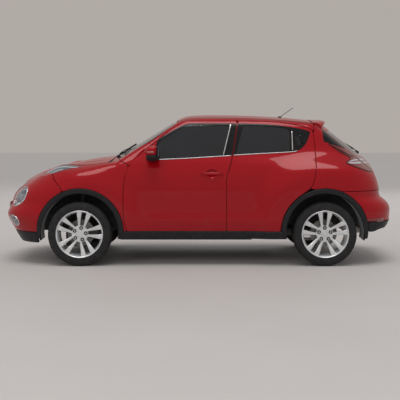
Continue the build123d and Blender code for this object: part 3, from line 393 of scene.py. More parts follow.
# ---------------------------------------------------------------- meshes
def make_object(name, vertices, faces, finish, body_name, normals=None, near=None):
    """Object at the origin from arrays; faces is an array of quads or triangles, or a list of such arrays."""
    mesh = bpy.data.meshes.new(name)
    groups = faces if isinstance(faces, list) else [faces]
    total = np.concatenate([np.full(len(group), group.shape[1]) for group in groups])
    corners = np.concatenate([group.ravel() for group in groups]).astype(np.int32)
    mesh.vertices.add(len(vertices))
    mesh.vertices.foreach_set("co", np.asarray(vertices, dtype=np.float32).ravel())
    mesh.loops.add(len(corners))
    mesh.loops.foreach_set("vertex_index", corners)
    mesh.polygons.add(len(total))
    mesh.polygons.foreach_set("loop_start", np.concatenate([[0], np.cumsum(total)[:-1]]).astype(np.int32))
    mesh.polygons.foreach_set("use_smooth", np.ones(len(total), dtype=bool))
    mesh.update(calc_edges=True)
    mesh.validate()
    if near is not None:
        mesh.attributes.new("near", "FLOAT", "POINT").data.foreach_set("value", near.astype(np.float32))
    if normals is not None:
        mesh.normals_split_custom_set_from_vertices(normals.tolist())
    mesh.materials.append(material(finish))
    obj = bpy.data.objects.new(name, mesh)
    bpy.context.scene.collection.objects.link(obj)
    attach(obj, body_name)
    return obj


def join_arrays(parts):
    """Several (vertices, faces) pairs as one; a pair's faces may be a list of arrays."""
    vertices = np.vstack([v for v, _ in parts])
    start = np.cumsum([0, *[len(v) for v, _ in parts[:-1]]])
    groups = [g + s for (_, f), s in zip(parts, start) for g in (f if isinstance(f, list) else [f])]
    by_corners = [[g for g in groups if g.shape[1] == corners] for corners in (3, 4)]
    return vertices, [np.vstack(same) for same in by_corners if same]


def flipped(part):
    """Mirror image of a part across the car's middle plane."""
    v, f = part
    return v * (1, -1, 1), [g[:, ::-1] for g in f] if isinstance(f, list) else f[:, ::-1]


def with_mirror(parts):
    return parts + [flipped(part) for part in parts]


def triangulated(loops, rounding, spacing):
    """Flat points and triangles inside the first loop and outside the others: the loops, rings of the
    rounding's width beside them, and a staggered grid between."""
    rings = list(loops)
    if rounding:
        for k, loop in enumerate(loops):
            for share in (0.35, 1.0):
                rings.append(shifted(loop, (rounding if k == 0 else -rounding) * share))
    low, high = loops[0].min(axis=0), loops[0].max(axis=0)
    rows = np.arange(low[0], high[0], spacing)
    gx, gy = np.meshgrid(rows, np.arange(low[1], high[1], spacing * 0.87), indexing="ij")
    gx = gx + (np.arange(gx.shape[1]) % 2) * spacing / 2
    fill = columns(gx.ravel(), gy.ravel())
    fill = fill[inside(fill, loops[0])]
    for hole in loops[1:]:
        fill = fill[~inside(fill, hole)]
    fill = fill[edge_distance(fill, loops) > rounding + 0.4 * spacing]
    edges = []
    start = 0
    for ring in rings:
        index = np.arange(len(ring)) + start
        edges += np.stack([index, np.roll(index, -1)], axis=-1).tolist()
        start += len(ring)
    found = delaunay_2d_cdt(np.vstack([*rings, fill]).tolist(), edges, [], 0, 1e-7, False)
    flat = np.array([tuple(v) for v in found[0]])
    tris = np.array([t for t in found[2] if len(t) == 3])
    centre = flat[tris].mean(axis=1)
    keep = inside(centre, loops[0])
    for hole in loops[1:]:
        keep &= ~inside(centre, hole)
    tris = tris[keep]
    used = np.unique(tris)
    back = np.full(len(flat), -1)
    back[used] = np.arange(len(used))
    return flat[used], back[tris]


def unit(vectors):
    """Rows brought to length one."""
    return vectors / np.maximum(np.linalg.norm(vectors, axis=1, keepdims=True), 1e-12)


def closed_sheet(chart, loops, depth, thick, rounding, spacing):
    """Shell over a region of the skin: the chart's points inside the first loop and outside the others, moved
    in along the skin's normal by depth, and by the rounding's quarter circle near the edge; closed by an inner
    skin and a rim. Gives vertices, triangles and rim quads, normals and distances to the edge."""
    flat, tris = triangulated(loops, rounding, spacing)
    skin = chart(flat)
    normal = outward(skin)
    gap = edge_distance(flat, loops)
    lean = np.clip(1 - gap / rounding, 0, 1) if rounding else np.zeros(len(flat))
    drop = rounding * (1 - np.sqrt(np.maximum(1 - lean**2, 0)))
    sunk = depth(flat) if callable(depth) else depth
    outer = skin - normal * (sunk + drop)[:, None]
    a, b, c = outer[tris[:, 0]], outer[tris[:, 1]], outer[tris[:, 2]]
    facing = (np.cross(b - a, c - a) * normal[tris[:, 0]]).sum(-1)
    tris = np.where(facing[:, None] < 0, tris[:, ::-1], tris)
    inner = skin - normal * (sunk + thick + np.zeros(len(skin)))[:, None]
    if callable(depth):
        cross = np.cross(outer[tris[:, 1]] - outer[tris[:, 0]], outer[tris[:, 2]] - outer[tris[:, 0]])
        normal = np.zeros_like(outer)
        for corner in range(3):
            np.add.at(normal, tris[:, corner], cross)
        normal = unit(normal)
    n = len(outer)
    pairs = np.vstack([tris[:, [0, 1]], tris[:, [1, 2]], tris[:, [2, 0]]])
    key = pairs[:, 0] * n + pairs[:, 1]
    twin = pairs[:, 1] * n + pairs[:, 0]
    border = pairs[~np.isin(key, twin)]
    rim = np.stack([border[:, 1], border[:, 0], border[:, 0] + n, border[:, 1] + n], axis=-1)
    out_dir = np.zeros_like(outer)
    run = outer[border[:, 1]] - outer[border[:, 0]]
    side = unit(np.cross(run, normal[border[:, 0]]))
    np.add.at(out_dir, border[:, 0], side)
    np.add.at(out_dir, border[:, 1], side)
    edge_dir = unit(out_dir[border[:, 0]])
    close = np.where(lean > 0)[0]
    if len(close):
        reach = outer[border[:, 0]]
        nearest = np.concatenate([
            np.argmin(np.linalg.norm(outer[part][:, None] - reach[None], axis=-1), axis=1)
            for part in np.array_split(close, max(1, len(close) // 400))
        ])
        tilt = np.minimum(lean[close], 0.95)[:, None]
        normal = normal.copy()
        normal[close] = unit(normal[close] * np.sqrt(1 - tilt**2) + edge_dir[nearest] * tilt)
    vertices = np.vstack([outer, inner])
    faces = [np.vstack([tris, tris[:, ::-1] + n]), rim]
    return vertices, faces, np.vstack([normal, -outward(skin)]), np.concatenate([gap, gap])


def panel(name, chart, loops, finish, body_name="body", depth=0.0, thick=0.012, rounding=None, spacing=0.024,
          both=False, slot="paint", mirror_of=False):
    """One shell; both adds its mirror image to the same object, mirror_of gives the mirror image alone."""
    if rounding is None:
        rounding = chosen_size("panel_rounding")
    v, f, n, near = closed_sheet(chart, loops, depth, thick, rounding, spacing)
    if mirror_of:
        (v, f), n = flipped((v, f)), n * (1, -1, 1)
    if both:
        v, f = join_arrays(with_mirror([(v, f)]))
        n, near = np.vstack([n, n * (1, -1, 1)]), np.concatenate([near, near])
    obj = make_object(name, v, f, finish, body_name, n, near)
    return obj


def turned_shape(profile, centre, count):
    """Closed profile of (outwards along the axis, radius) turned about the crosswise axis through centre."""
    profile = np.asarray(profile, dtype=float)
    a = turns(count)
    along_axis, radius = profile[:, 0][:, None], profile[:, 1][:, None]
    v = columns(centre[0] + radius * np.cos(a), centre[1] - along_axis + 0 * a, centre[2] + radius * np.sin(a))
    i = np.arange(len(profile))[:, None]
    j = np.arange(count)[None]
    i2, j2 = (i + 1) % len(profile), (j + 1) % count
    quads = np.stack([i * count + j, i2 * count + j, i2 * count + j2, i * count + j2], axis=-1)
    return v.reshape(-1, 3), quads.reshape(-1, 4)


def turned(profile, centre, count):
    return facing_out(*turned_shape(profile, centre, count))


def grid_faces(rows, cols, wrap=False):
    """Quads of a grid of points; wrap joins the last column to the first."""
    i = np.arange(rows - 1)[:, None]
    j = np.arange(cols if wrap else cols - 1)[None]
    j2 = (j + 1) % cols
    return np.stack([i * cols + j, i * cols + j2, (i + 1) * cols + j2, (i + 1) * cols + j],
                    axis=-1).reshape(-1, 4)


def capped(rows, cols):
    """Triangles of a grid that closes across its columns, with fans to the two end points after it."""
    faces = grid_faces(rows, cols, wrap=True)
    j = np.arange(cols)
    ahead = (j + 1) % cols
    last = (rows - 1) * cols
    start = np.stack([np.full(cols, rows * cols), ahead, j], axis=-1)
    end = np.stack([np.full(cols, rows * cols + 1), last + j, last + ahead], axis=-1)
    return np.vstack([faces[:, [0, 1, 2]], faces[:, [0, 2, 3]], start, end])


def signed_volume(v, f):
    t = f if f.shape[1] == 3 else np.vstack([f[:, [0, 1, 2]], f[:, [0, 2, 3]]])
    return float(np.einsum("ij,ij->i", v[t[:, 0]], np.cross(v[t[:, 1]], v[t[:, 2]])).sum() / 6)


def facing_out(v, f):
    """A closed shell with its faces outwards, told by the sign of its volume."""
    shift = v - v.mean(axis=0)
    return (v, f) if signed_volume(shift, f) > 0 else (v, f[:, ::-1])


def squared(value, power):
    """A cosine or sine raised to 2 over power, with its sign kept."""
    return np.sign(value) * np.abs(value) ** (2 / power)


def rounded_box(low, high, power=6.0, count=28, bend=None):
    """Superellipsoid box between two corners: cosines and sines of two angles raised to 2 over power."""
    low, high = np.array(low, dtype=float), np.array(high, dtype=float)
    u = turns(2 * count)[None]
    v = np.linspace(-np.pi / 2, np.pi / 2, count + 1)[1:-1][:, None]

    level = squared(np.cos(v), power)
    ball = columns(level * squared(np.cos(u), power), level * squared(np.sin(u), power),
                   squared(np.sin(v), power))
    rows, cols = ball.shape[:2]
    ball = np.vstack([ball.reshape(-1, 3), [[0, 0, -1], [0, 0, 1]]])
    if bend is not None:
        ball = bend(ball)
    p = (low + high) / 2 + ball * (high - low) / 2
    return facing_out(p, capped(rows, cols))


def tube(path, width, height, up, sides=12, power=2.6, taper=None):
    """Oval section carried along a path: width across it, height along up; the ends close to a point."""
    path = np.asarray(path, dtype=float)
    tangent = unit(np.gradient(path, axis=0))
    across = unit(np.cross(tangent, np.broadcast_to(np.asarray(up, dtype=float), path.shape)))
    lift = np.cross(across, tangent)
    a = turns(sides)
    c, s = squared(np.cos(a), power), squared(np.sin(a), power)
    size = np.ones(len(path)) if taper is None else np.asarray(taper)
    w = np.broadcast_to(width, len(path)) * size / 2
    h = np.broadcast_to(height, len(path)) * size / 2
    ring = path[:, None] + across[:, None] * (w[:, None] * c)[..., None] + lift[:,
                                                                                None] * (h[:, None] * s)[...,
                                                                                                         None]
    v = np.vstack([ring.reshape(-1, 3), path[:1], path[-1:]])
    return facing_out(v, capped(len(path), sides))


def bead(points, lift, width, height, sides=12, power=3.0, taper=None):
    """Tube along points of the skin, moved out by lift, whose height stands on the skin's normal."""
    n = outward(points)
    return tube(points + n * lift, width, height, n, sides, power, taper)


def strip(chart, points, width, height, lift):
    """Moulding along a flat line of a chart."""
    return bead(chart(even(points, 0.015)), lift, width, height, 12, 3.2)


# ---------------------------------------------------------------- finishes
class Graph:
    """Small helper that adds and links shader nodes."""

    def __init__(self, name):
        self.material = bpy.data.materials.new(name)
        self.material.use_nodes = True
        self.tree = self.material.node_tree
        self.shader = self.tree.nodes["Principled BSDF"]
        self.place = self.node("ShaderNodeTexCoord").outputs["Object"]

    def node(self, kind, **settings):
        made = self.tree.nodes.new(kind)
        for key, value in settings.items():
            setattr(made, key, value)
        return made

    def link(self, source, target):
        self.tree.links.new(source, target)

    def texture(self, kind, output, scale, **settings):
        made = self.node(kind, **settings)
        made.inputs["Scale"].default_value = scale
        self.link(self.place, made.inputs["Vector"])
        return made.outputs[output]

    def noise(self, scale, detail):
        value = self.texture("ShaderNodeTexNoise", "Fac", scale)
        value.node.inputs["Detail"].default_value = detail
        return value

    def cells(self, scale):
        return self.texture("ShaderNodeTexVoronoi", "Distance", scale)

    def waves(self, scale, direction, distortion=0.0):
        value = self.texture("ShaderNodeTexWave", "Fac", scale, bands_direction=direction)
        value.node.inputs["Distortion"].default_value = distortion
        return value

    def varied(self, scale, detail, low, high):
        """Noise spread over a range: most of its values lie between 0.3 and 0.7."""
        return self.ranged(self.noise(scale, detail), 0.3, 0.7, low, high)

    def ranged(self, value, low, high, to_low, to_high):
        made = self.node("ShaderNodeMapRange")
        for name, number in (("From Min", low), ("From Max", high), ("To Min", to_low), ("To Max", to_high)):
            made.inputs[name].default_value = number
        self.link(value, made.inputs["Value"])
        return made.outputs["Result"]

    def maths(self, operation, a, b):
        made = self.node("ShaderNodeMath", operation=operation)
        for socket, value in zip(made.inputs, (a, b)):
            if isinstance(value, (int, float)):
                socket.default_value = value
            else:
                self.link(value, socket)
        return made.outputs[0]

    def mixed(self, share, a, b):
        made = self.node("ShaderNodeMix", data_type="RGBA")
        self.link(share, made.inputs[0])
        for socket, value in ((made.inputs[6], a), (made.inputs[7], b)):
            if isinstance(value, (tuple, list)):
                socket.default_value = (*value[:3], 1)
            else:
                self.link(value, socket)
        return made.outputs[2]

    def height(self, value, strength, distance):
        made = self.node("ShaderNodeBump")
        made.inputs["Strength"].default_value = strength
        made.inputs["Distance"].default_value = distance
        self.link(value, made.inputs["Height"])
        return made.outputs["Normal"]

    def up(self):
        split = self.node("ShaderNodeSeparateXYZ")
        self.link(self.place, split.inputs[0])
        return split.outputs["Z"]

    def near(self):
        return self.node("ShaderNodeAttribute", attribute_name="near").outputs["Fac"]

    def constant(self, **values):
        names = {"metallic": "Metallic", "coat": "Coat Weight", "coat_rough": "Coat Roughness", "ior": "IOR",
                 "alpha": "Alpha", "sheen": "Sheen Weight", "specular": "Specular IOR Level"}
        for key, value in values.items():
            self.shader.inputs[names[key]].default_value = value

    def finish(self, colour, rough, bump=None):
        for socket, value in (("Base Color", colour), ("Roughness", rough), ("Normal", bump)):
            if value is None:
                continue
            if isinstance(value, (int, float)):
                self.shader.inputs[socket].default_value = value
            elif isinstance(value, (tuple, list)):
                self.shader.inputs[socket].default_value = (*value, 1)
            else:
                self.link(value, self.shader.inputs[socket])
        return self.material


def shade(colour, factor):
    return tuple(min(1.0, c * factor) for c in colour)


def chosen(name):
    return tuple(getattr(bpy.context.scene.crossover_colours, name))


def chosen_size(name):
    """A length from the sidebar's settings, to the micrometre."""
    return round(getattr(bpy.context.scene.crossover_sizes, name), 6)


def paint(name, colour, dirt=0.05):
    """Clear-coated paint: fine flakes in the colour, faint orange peel, a little road dust low down."""
    g = Graph(name)
    flakes = g.ranged(g.cells(1500), 0.0, 0.6, 1.0, 0.0)
    base = g.mixed(flakes, shade(colour, 0.86), shade(colour, 1.16))
    cloud = g.ranged(g.noise(9, 5), 0.35, 0.7, 0.0, 1.0)
    low = g.ranged(g.up(), 0.62, 0.26, 0.0, dirt)
    dusty = g.mixed(g.maths("MULTIPLY", cloud, low), base, (0.2, 0.16, 0.13))
    rough = g.maths("ADD", g.varied(40, 3, 0.3, 0.38), g.maths("MULTIPLY", low, 0.08))
    g.constant(metallic=0.1, coat=0.55, coat_rough=0.03, ior=1.5, specular=0.06)
    return g.finish(dusty, rough, g.height(g.noise(220, 2), 0.05, 0.0005))


def moulded(name, colour, rough, grain=900.0, depth=0.0003, dust=0.3, sheen=0.0, metallic=0.0, cloudy=0.18):
    """Moulded or cast surface: leather-like cells, cloudy colour, dust gathered low down."""
    g = Graph(name)
    cloud = g.noise(14, 5)
    base = g.mixed(g.ranged(cloud, 0.3, 0.7, 0.0, 1.0), shade(colour, 1 - cloudy), shade(colour, 1 + cloudy))
    low = g.ranged(g.up(), 0.7, 0.15, 0.0, dust)
    base = g.mixed(g.maths("MULTIPLY", low, g.ranged(g.noise(30, 6), 0.4, 0.65, 0.0, 1.0)), base,
                   (0.16, 0.14, 0.12))
    g.constant(sheen=sheen, metallic=metallic, specular=0.28)
    return g.finish(base, g.varied(55, 4, rough - 0.06, rough + 0.07),
                    g.height(g.cells(grain), 0.45, depth))


def metal(name, colour, rough, brushed=60.0, metallic=1.0):
    """Bright metal: faint clouding, fine turning marks in roughness and height."""
    g = Graph(name)
    base = g.mixed(g.varied(20, 4, 0.0, 1.0), shade(colour, 0.9), shade(colour, 1.05))
    g.constant(metallic=metallic)
    return g.finish(base, g.varied(brushed, 6, rough * 0.75, rough * 1.3),
                    g.height(g.noise(brushed * 12, 2), 0.08, 0.0002))


def pane(name, colour, alpha, frit=0.0):
    """Tinted glass with faint streaks; frit is the width of the black border, from the edge distance."""
    g = Graph(name)
    base = g.mixed(g.varied(3, 4, 0.0, 1.0), shade(colour, 0.85), shade(colour, 1.1))
    opacity = g.varied(5, 6, alpha - 0.02, alpha + 0.04)
    if frit:
        border = g.ranged(g.near(), frit, frit * 1.12, 1.0, 0.0)
        base = g.mixed(border, base, (0.006, 0.006, 0.007))
        opacity = g.maths("MAXIMUM", opacity, border)
    g.link(opacity, g.shader.inputs["Alpha"])
    g.constant(coat=0.6, coat_rough=0.01, ior=1.5)
    return g.finish(base, g.varied(12, 5, 0.02, 0.05))


def lens(name, colour, alpha, ribs=0.0):
    """Lamp lens: clear or coloured plastic, its colour banded lighter and darker as painted light and shade of
    fine flutes; ribs gives the flutes a real bump.
    """
    g = Graph(name)
    wave = g.waves(45.0, "Z")
    # Colour bands between 0.75 and 1.15 of the colour: painted light and shade of the flutes.
    base = g.mixed(wave, shade(colour, 0.75), shade(colour, 1.15))
    g.link(g.varied(8, 3, alpha - 0.03, alpha + 0.05), g.shader.inputs["Alpha"])
    g.constant(coat=1.0, coat_rough=0.02, ior=1.49)
    return g.finish(base, 0.08, g.height(wave, ribs, 0.001) if ribs else None)


def tread_rubber(name):
    """Tyre rubber: dull black, mottled, with fine mould texture."""
    g = Graph(name)
    base = g.mixed(g.ranged(g.noise(25, 6), 0.35, 0.7, 0.0, 1.0), (0.013, 0.013, 0.014), (0.024, 0.023, 0.022))
    g.constant(specular=0.35)
    return g.finish(base, g.varied(60, 4, 0.62, 0.8), g.height(g.noise(900, 3), 0.3, 0.0003))


def seat_cloth(name, colour):
    """Woven seat cloth: two crossed waves for the threads, flecked colour and soft sheen."""
    g = Graph(name)
    weave = g.maths("MULTIPLY", g.waves(160.0, "X", 1.5), g.waves(160.0, "Z", 1.5))
    base = g.mixed(g.ranged(g.noise(300, 2), 0.4, 0.6, 0.0, 1.0), shade(colour, 0.7), shade(colour, 1.5))
    g.constant(sheen=0.5)
    return g.finish(base, 0.85, g.height(weave, 0.5, 0.0006))


def pale_floor(name):
    """Pale studio floor: warm grey, with slight clouding and a fine tooth."""
    g = Graph(name)
    base = g.mixed(g.varied(0.8, 3, 0.0, 1.0), (0.51, 0.475, 0.452), (0.53, 0.494, 0.47))
    return g.finish(base, 0.75, g.height(g.noise(60, 4), 0.15, 0.001))


MADE = {}
FINISHES = {
    "body_paint": lambda name: paint(name, chosen("paint")),
    # Body paint darkened to 0.7 for jambs and sills: painted shade inside the door openings, with more road
    # dust low down.
    "jamb_paint": lambda name: paint(name, shade(chosen("paint"), 0.7), 0.4),
    "cladding": lambda name: moulded(name, chosen("cladding"), 0.45, dust=0.08),
    "gloss_black": lambda name: moulded(name, (0.008, 0.008, 0.009), 0.14, 500, 0.00004, 0.1),
    "seal_rubber": lambda name: moulded(name, (0.012, 0.012, 0.012), 0.65, 700, 0.0002, 0.1),
    "soft_plastic": lambda name: moulded(name, (0.028, 0.028, 0.03), 0.6, 650, 0.0002, 0.0),
    "felt": lambda name: moulded(name, (0.012, 0.012, 0.012), 0.9, 300, 0.001, 0.5, 0.3),
    "side_glass": lambda name: pane(name, (0.012, 0.015, 0.02), 0.8),
    "screen_glass": lambda name: pane(name, (0.1, 0.15, 0.19), 0.42, 0.028),
    "rear_glass": lambda name: pane(name, (0.012, 0.015, 0.02), 0.84, 0.045),
    "lens_clear": lambda name: lens(name, (0.75, 0.78, 0.82), 0.12),
    "lens_red": lambda name: lens(name, (0.2, 0.001, 0.003), 0.93, 0.25),
    "lens_white": lambda name: lens(name, (0.62, 0.63, 0.66), 0.85, 0.3),
    "reflector": lambda name: metal(name, (0.75, 0.76, 0.78), 0.14, 30),
    "bright_trim": lambda name: metal(name, (0.8, 0.81, 0.83), 0.12, 60),
    "alloy": lambda name: metal(name, chosen("wheels"), 0.34, 90, 0.6),
    "skid_silver": lambda name: metal(name, (0.55, 0.56, 0.58), 0.42, 120),
    "disc_steel": lambda name: metal(name, (0.3, 0.29, 0.28), 0.35, 200),
    "cast_metal": lambda name: moulded(name, (0.1, 0.1, 0.105), 0.6, 260, 0.0012, 0.5, 0, 0.7),
    "pan_paint": lambda name: moulded(name, (0.03, 0.03, 0.032), 0.7, 120, 0.0015, 0.6),
    "pipe_steel": lambda name: metal(name, (0.32, 0.3, 0.28), 0.4, 90),
    "tyre_rubber": tread_rubber,
    "seat_cloth": lambda name: seat_cloth(name, (0.035, 0.036, 0.04)),
    "seat_bolster": lambda name: moulded(name, (0.03, 0.03, 0.032), 0.55, 420, 0.0006, 0, 0.2),
    "blank_plate": lambda name: moulded(name, (0.62, 0.62, 0.6), 0.4, 800, 0.0001, 0.06, cloudy=0.03),
    "mirror_glass": lambda name: metal(name, (0.75, 0.78, 0.8), 0.03, 4),
    "studio_floor": pale_floor,
}


def material(name):
    """The material of a finish, made when it is first asked for."""
    if name not in MADE:
        MADE[name] = FINISHES[name](name)
    return MADE[name]


# ---------------------------------------------------------------- shut lines
FRONT_EDGE = ((-733, 355), (-768, 480), (-774, 600), (-774, 750), (-764, 880), (-722, 1029),
              (-605, 1157), (-450, 1279), (-297, 1400), (-170, 1478), (-120, 1499))
ROOF_SIDE = ((-120, 1499), (413, 1499), (420, 1499))
REAR_TOP = ((420, 1499), (761, 1493), (920, 1476), (1079, 1450), (1180, 1418), (1216, 1388))
REAR_EDGE = ((1216, 1388), (1222, 1300), (1226, 1180), (1222, 1065), (1190, 870), (1150, 800))
BUMPER_EDGE = ((-1405, 765), (-1441, 824), (-1500, 890), (-1552, 955), (-1700, 928), (-1782, 904))
FRONT_WINDOW = ((-430, 1104), (-424, 1245), (-400, 1292), (-332, 1340), (-241, 1396), (-150, 1442),
                (-88, 1460))
SCREEN_SIDE = ((-810, -620), (-717, -649), (-511, -673), (-300, -597), (-226, -553))
BONNET_SIDE = ((-940, -690), (-1211, -655), (-1600, -480), (-1822, -430))
GATE_SIDE = ((-505, 1460), (-490, 1400), (-530, 1250), (-565, 1100), (-545, 950), (-520, 768), (-516, 690))
LAMP_PLAN = ((-1690, -500), (-1600, -492), (-1400, -592), (-1225, -668), (-1240, -692), (-1450, -708),
             (-1620, -640))


def loop(chart, *segments, room=0.0, passes=2, step=0.011):
    """Closed loop on a chart from pieces of line in space; room moves it inwards."""
    return settled(np.vstack([chart[1](segment) for segment in segments]), step, passes, room)


def halves(chart, axis, *segments, room=0.0, passes=2, step=0.011):
    """Loop of a piece that crosses the middle, from its left half; axis is the chart's crosswise column."""
    half = np.vstack([chart[1](segment) for segment in segments])
    other = half[::-1].copy()
    other[:, axis] *= -1
    return settled(np.vstack([half, other]), step, passes, room)


def along(chart, *pairs):
    """Points of the skin on a broken line between flat places of a chart."""
    return chart(even(pairs))


def side_line(*pairs, smooth=True):
    """Line on the skin from millimetres seen from the left; smooth gives a curve, else straight runs."""
    return seen_side(curve(*pairs) if smooth else even(mm(*pairs)))


def top_line(*pairs, smooth=True):
    return seen_top(curve(*pairs) if smooth else even(mm(*pairs)))


def front_line(*pairs):
    return seen_front(even(mm(*pairs)))


def back_line(*pairs, smooth=False):
    return seen_back(curve(*pairs) if smooth else even(mm(*pairs)))


def circle(across, up, radius, seen, step=0.008):
    """Circle in the front or back view, sent to the skin."""
    a = turns(int(2 * np.pi * radius / step))
    return seen(columns(across + radius * np.cos(a), up + radius * np.sin(a)))


def add_piece(name, parts, finish, body_name="body"):
    """Joins closed shells into one object."""
    vertices, faces = join_arrays(parts)
    obj = make_object(name, vertices, faces, finish, body_name)
    return obj


def sharpen(obj, degrees=35):
    obj.data.set_sharp_from_angle(angle=math.radians(degrees))
    return obj


# ---------------------------------------------------------------- doors
def door_outline(which, room=0.0025):
    """Shut line of a door; room is its distance inside the opening."""
    if which == "front":
        return loop(SIDE, side_line(*FRONT_EDGE), side_line((-120, 1499), (413, 1499)),
                    side_line((413, 1499), (355, 1137), (318, 990)),
                    side_line((318, 990), (293, 900), (291, 800), (293, 355)),
                    side_line((293, 355), (-733, 355)), room=room)
    corner = seen_side(arc(REAR_X, DOOR_ARCH_CUT, 178, 124))
    return loop(SIDE, side_line((293, 355), (291, 800), (293, 900), (321, 990)),
                side_line((321, 990), (360, 1137), (420, 1499)), side_line(*REAR_TOP), side_line(*REAR_EDGE),
                corner[::-1], side_line((850, 355), (293, 355)), room=room)


def window_outline(which, room=0.0):
    if which == "front":
        return loop(SIDE, side_line(*FRONT_WINDOW), side_line((-88, 1460), (340, 1460)),
                    side_line((340, 1460), (255, 1141)), side_line((255, 1141), (-60, 1123), (-430, 1104)),
                    room=room)
    return loop(SIDE, side_line((388, 1150), (472, 1458)),
                side_line((472, 1458), (761, 1444), (920, 1424), (968, 1400)),
                side_line((968, 1400), (960, 1184)), side_line((960, 1184), (388, 1150)), room=room)


def pillar_edge(points, low, high, room):
    """The part of a door's edge between two heights, moved along the car by room."""
    line = curve(*points)
    line = line[(line[:, 1] > low) & (line[:, 1] < high)]
    return seen_side(line + (room, 0))


def window_surround(which):
    """Outer edge of the black frame round a side window."""
    if which == "front":
        return loop(SIDE, side_line((-450, 1096), (-441, 1250), (-412, 1304), (-338, 1356), (-246, 1411),
                                    (-156, 1457), (-88, 1474)), side_line((-88, 1474), (402, 1474)),
                    pillar_edge(((413, 1499), (355, 1137), (318, 990)), 1.14, 1.47, -0.0035),
                    side_line((350, 1137), (-60, 1111), (-450, 1092)))
    return loop(SIDE, pillar_edge(((321, 990), (360, 1137), (420, 1499)), 1.146, 1.47, 0.0035),
                side_line((418, 1474), (761, 1461), (920, 1442), (1079, 1416), (1180, 1390)),
                side_line((1183, 1372), (1145, 1283), (1102, 1226), (1042, 1187), (980, 1174)),
                side_line((980, 1174), (363, 1141)))


def below_belt(which):
    """A door outline moved in, and cut off level with the bottom of the window."""
    flat = door_outline(which, 0.034)
    return softened(np.stack([flat[:, 0], np.minimum(flat[:, 1], 1.07)], axis=-1), 1)


HANDLE = np.array([0.142, 0.949])
DISH = np.array([0.0585, 0.0475])


def dish_rim(size):
    """Oval round the door pull."""
    a = turns(44)
    return columns(HANDLE[0] + size[0] * np.cos(a), HANDLE[1] + size[1] * np.sin(a))


def build_door(which, side, hand):
    rides = f"{which}_door_{side}"

    def part(name, loops, finish, slot, **sizes):
        return panel(f"{which}_{name}_{side}", side_chart, loops, finish, rides, slot=slot, mirror_of=hand > 0,
                     **sizes)

    holes = [window_outline(which)]
    if which == "front":
        holes.append(dish_rim(DISH - 0.0005))
    skin = part("door_skin", [door_outline(which), *holes], "body_paint", "paint", thick=0.02, spacing=0.022)
    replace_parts(skin, rides)
    part("door_card", [below_belt(which)], "soft_plastic", "soft_trim", depth=0.0202, thick=0.07,
         rounding=0.003, spacing=0.04)
    surround = [window_surround(which), window_outline(which, 0.0035)]
    part("window_surround", surround, "gloss_black", "trim", depth=-0.0012, thick=0.009, rounding=0.0012,
         spacing=0.03)
    glass = part("window", [window_outline(which, -0.002)], "side_glass", "glass", depth=0.0045, thick=0.004,
                 rounding=0.0008, spacing=0.035)
    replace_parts(glass, f"{which}_door_glass_{side}")


def door_piece(which, name, side, parts, finish):
    """Parts worked out for the left door, on the door of either side."""
    hand = dict(SIDES)[side]
    add_piece(f"{name}_{side}", parts if hand < 0 else [flipped(part) for part in parts], finish,
              f"{which}_door_{side}")


def build_belt_strips(side):
    """Mouldings along the belt, and the bright post at the rear of each window."""
    height = chosen_size("belt_height")
    for which, belt, post in (("front", ((-445, 1094), (-60, 1112), (345, 1137)), ((262, 1146), (344, 1466))),
                              ("rear", ((366, 1141), (700, 1159), (980, 1174), (1040, 1187)),
                               ((986, 1190), (988, 1392)))):
        door_piece(which, f"{which}_belt_strip", side,
                   [strip(side_chart, curve(*belt), height, 0.004, 0.0022)], "skid_silver")
        door_piece(which, f"{which}_window_post", side, [strip(side_chart, mm(*post), 0.011, 0.004, 0.0028)],
                   "bright_trim")


def narrowed_forward(unit_points):
    """Narrows the mirror's shell towards its front end, by a power of the distance ahead of its middle."""
    ahead = (1 - unit_points[:, :1]) / 2
    return unit_points * np.hstack([np.ones_like(ahead), 1 - 0.16 * ahead**1.5, 1 - 0.2 * ahead**1.5])


def build_mirror(side):
    """Mirror of superellipsoids on an arm, with a bright line round its shell."""
    root = float(side_chart(np.array([[-0.463, 1.09]]))[0, 1])
    front = root - 0.125
    arm = rounded_box((-0.515, root - 0.085, 1.082), (-0.43, root + 0.02, 1.13), 4, 16)
    foot = rounded_box((-0.54, root - 0.012, 1.088), (-0.405, root + 0.02, 1.125), 5, 16)
    shell = rounded_box((-0.546, front - 0.095, 1.128), (-0.408, front + 0.095, 1.247), 2.9, 30,
                        narrowed_forward)
    base = rounded_box((-0.534, front - 0.09, 1.104), (-0.406, front + 0.094, 1.16), 3.4, 26, narrowed_forward)
    bezel = rounded_box((-0.424, front - 0.091, 1.114), (-0.4035, front + 0.091, 1.24), 5, 24)
    face = rounded_box((-0.41, front - 0.083, 1.122), (-0.4025, front + 0.083, 1.232), 5, 20)
    t = np.linspace(0, np.pi, 28)
    line = columns(-0.452 - 0.0915 * np.sin(t) ** 0.7, front + 0.0955 * np.cos(t), 1.18)
    door_piece("front", "mirror_cap", side, [shell], "body_paint")
    door_piece("front", "mirror_base", side, [arm, foot, base, bezel], "cladding")
    door_piece("front", "mirror_line", side, [tube(line, 0.004, 0.006, (0, 0, 1))], "bright_trim")
    door_piece("front", "mirror_face", side, [face], "mirror_glass")


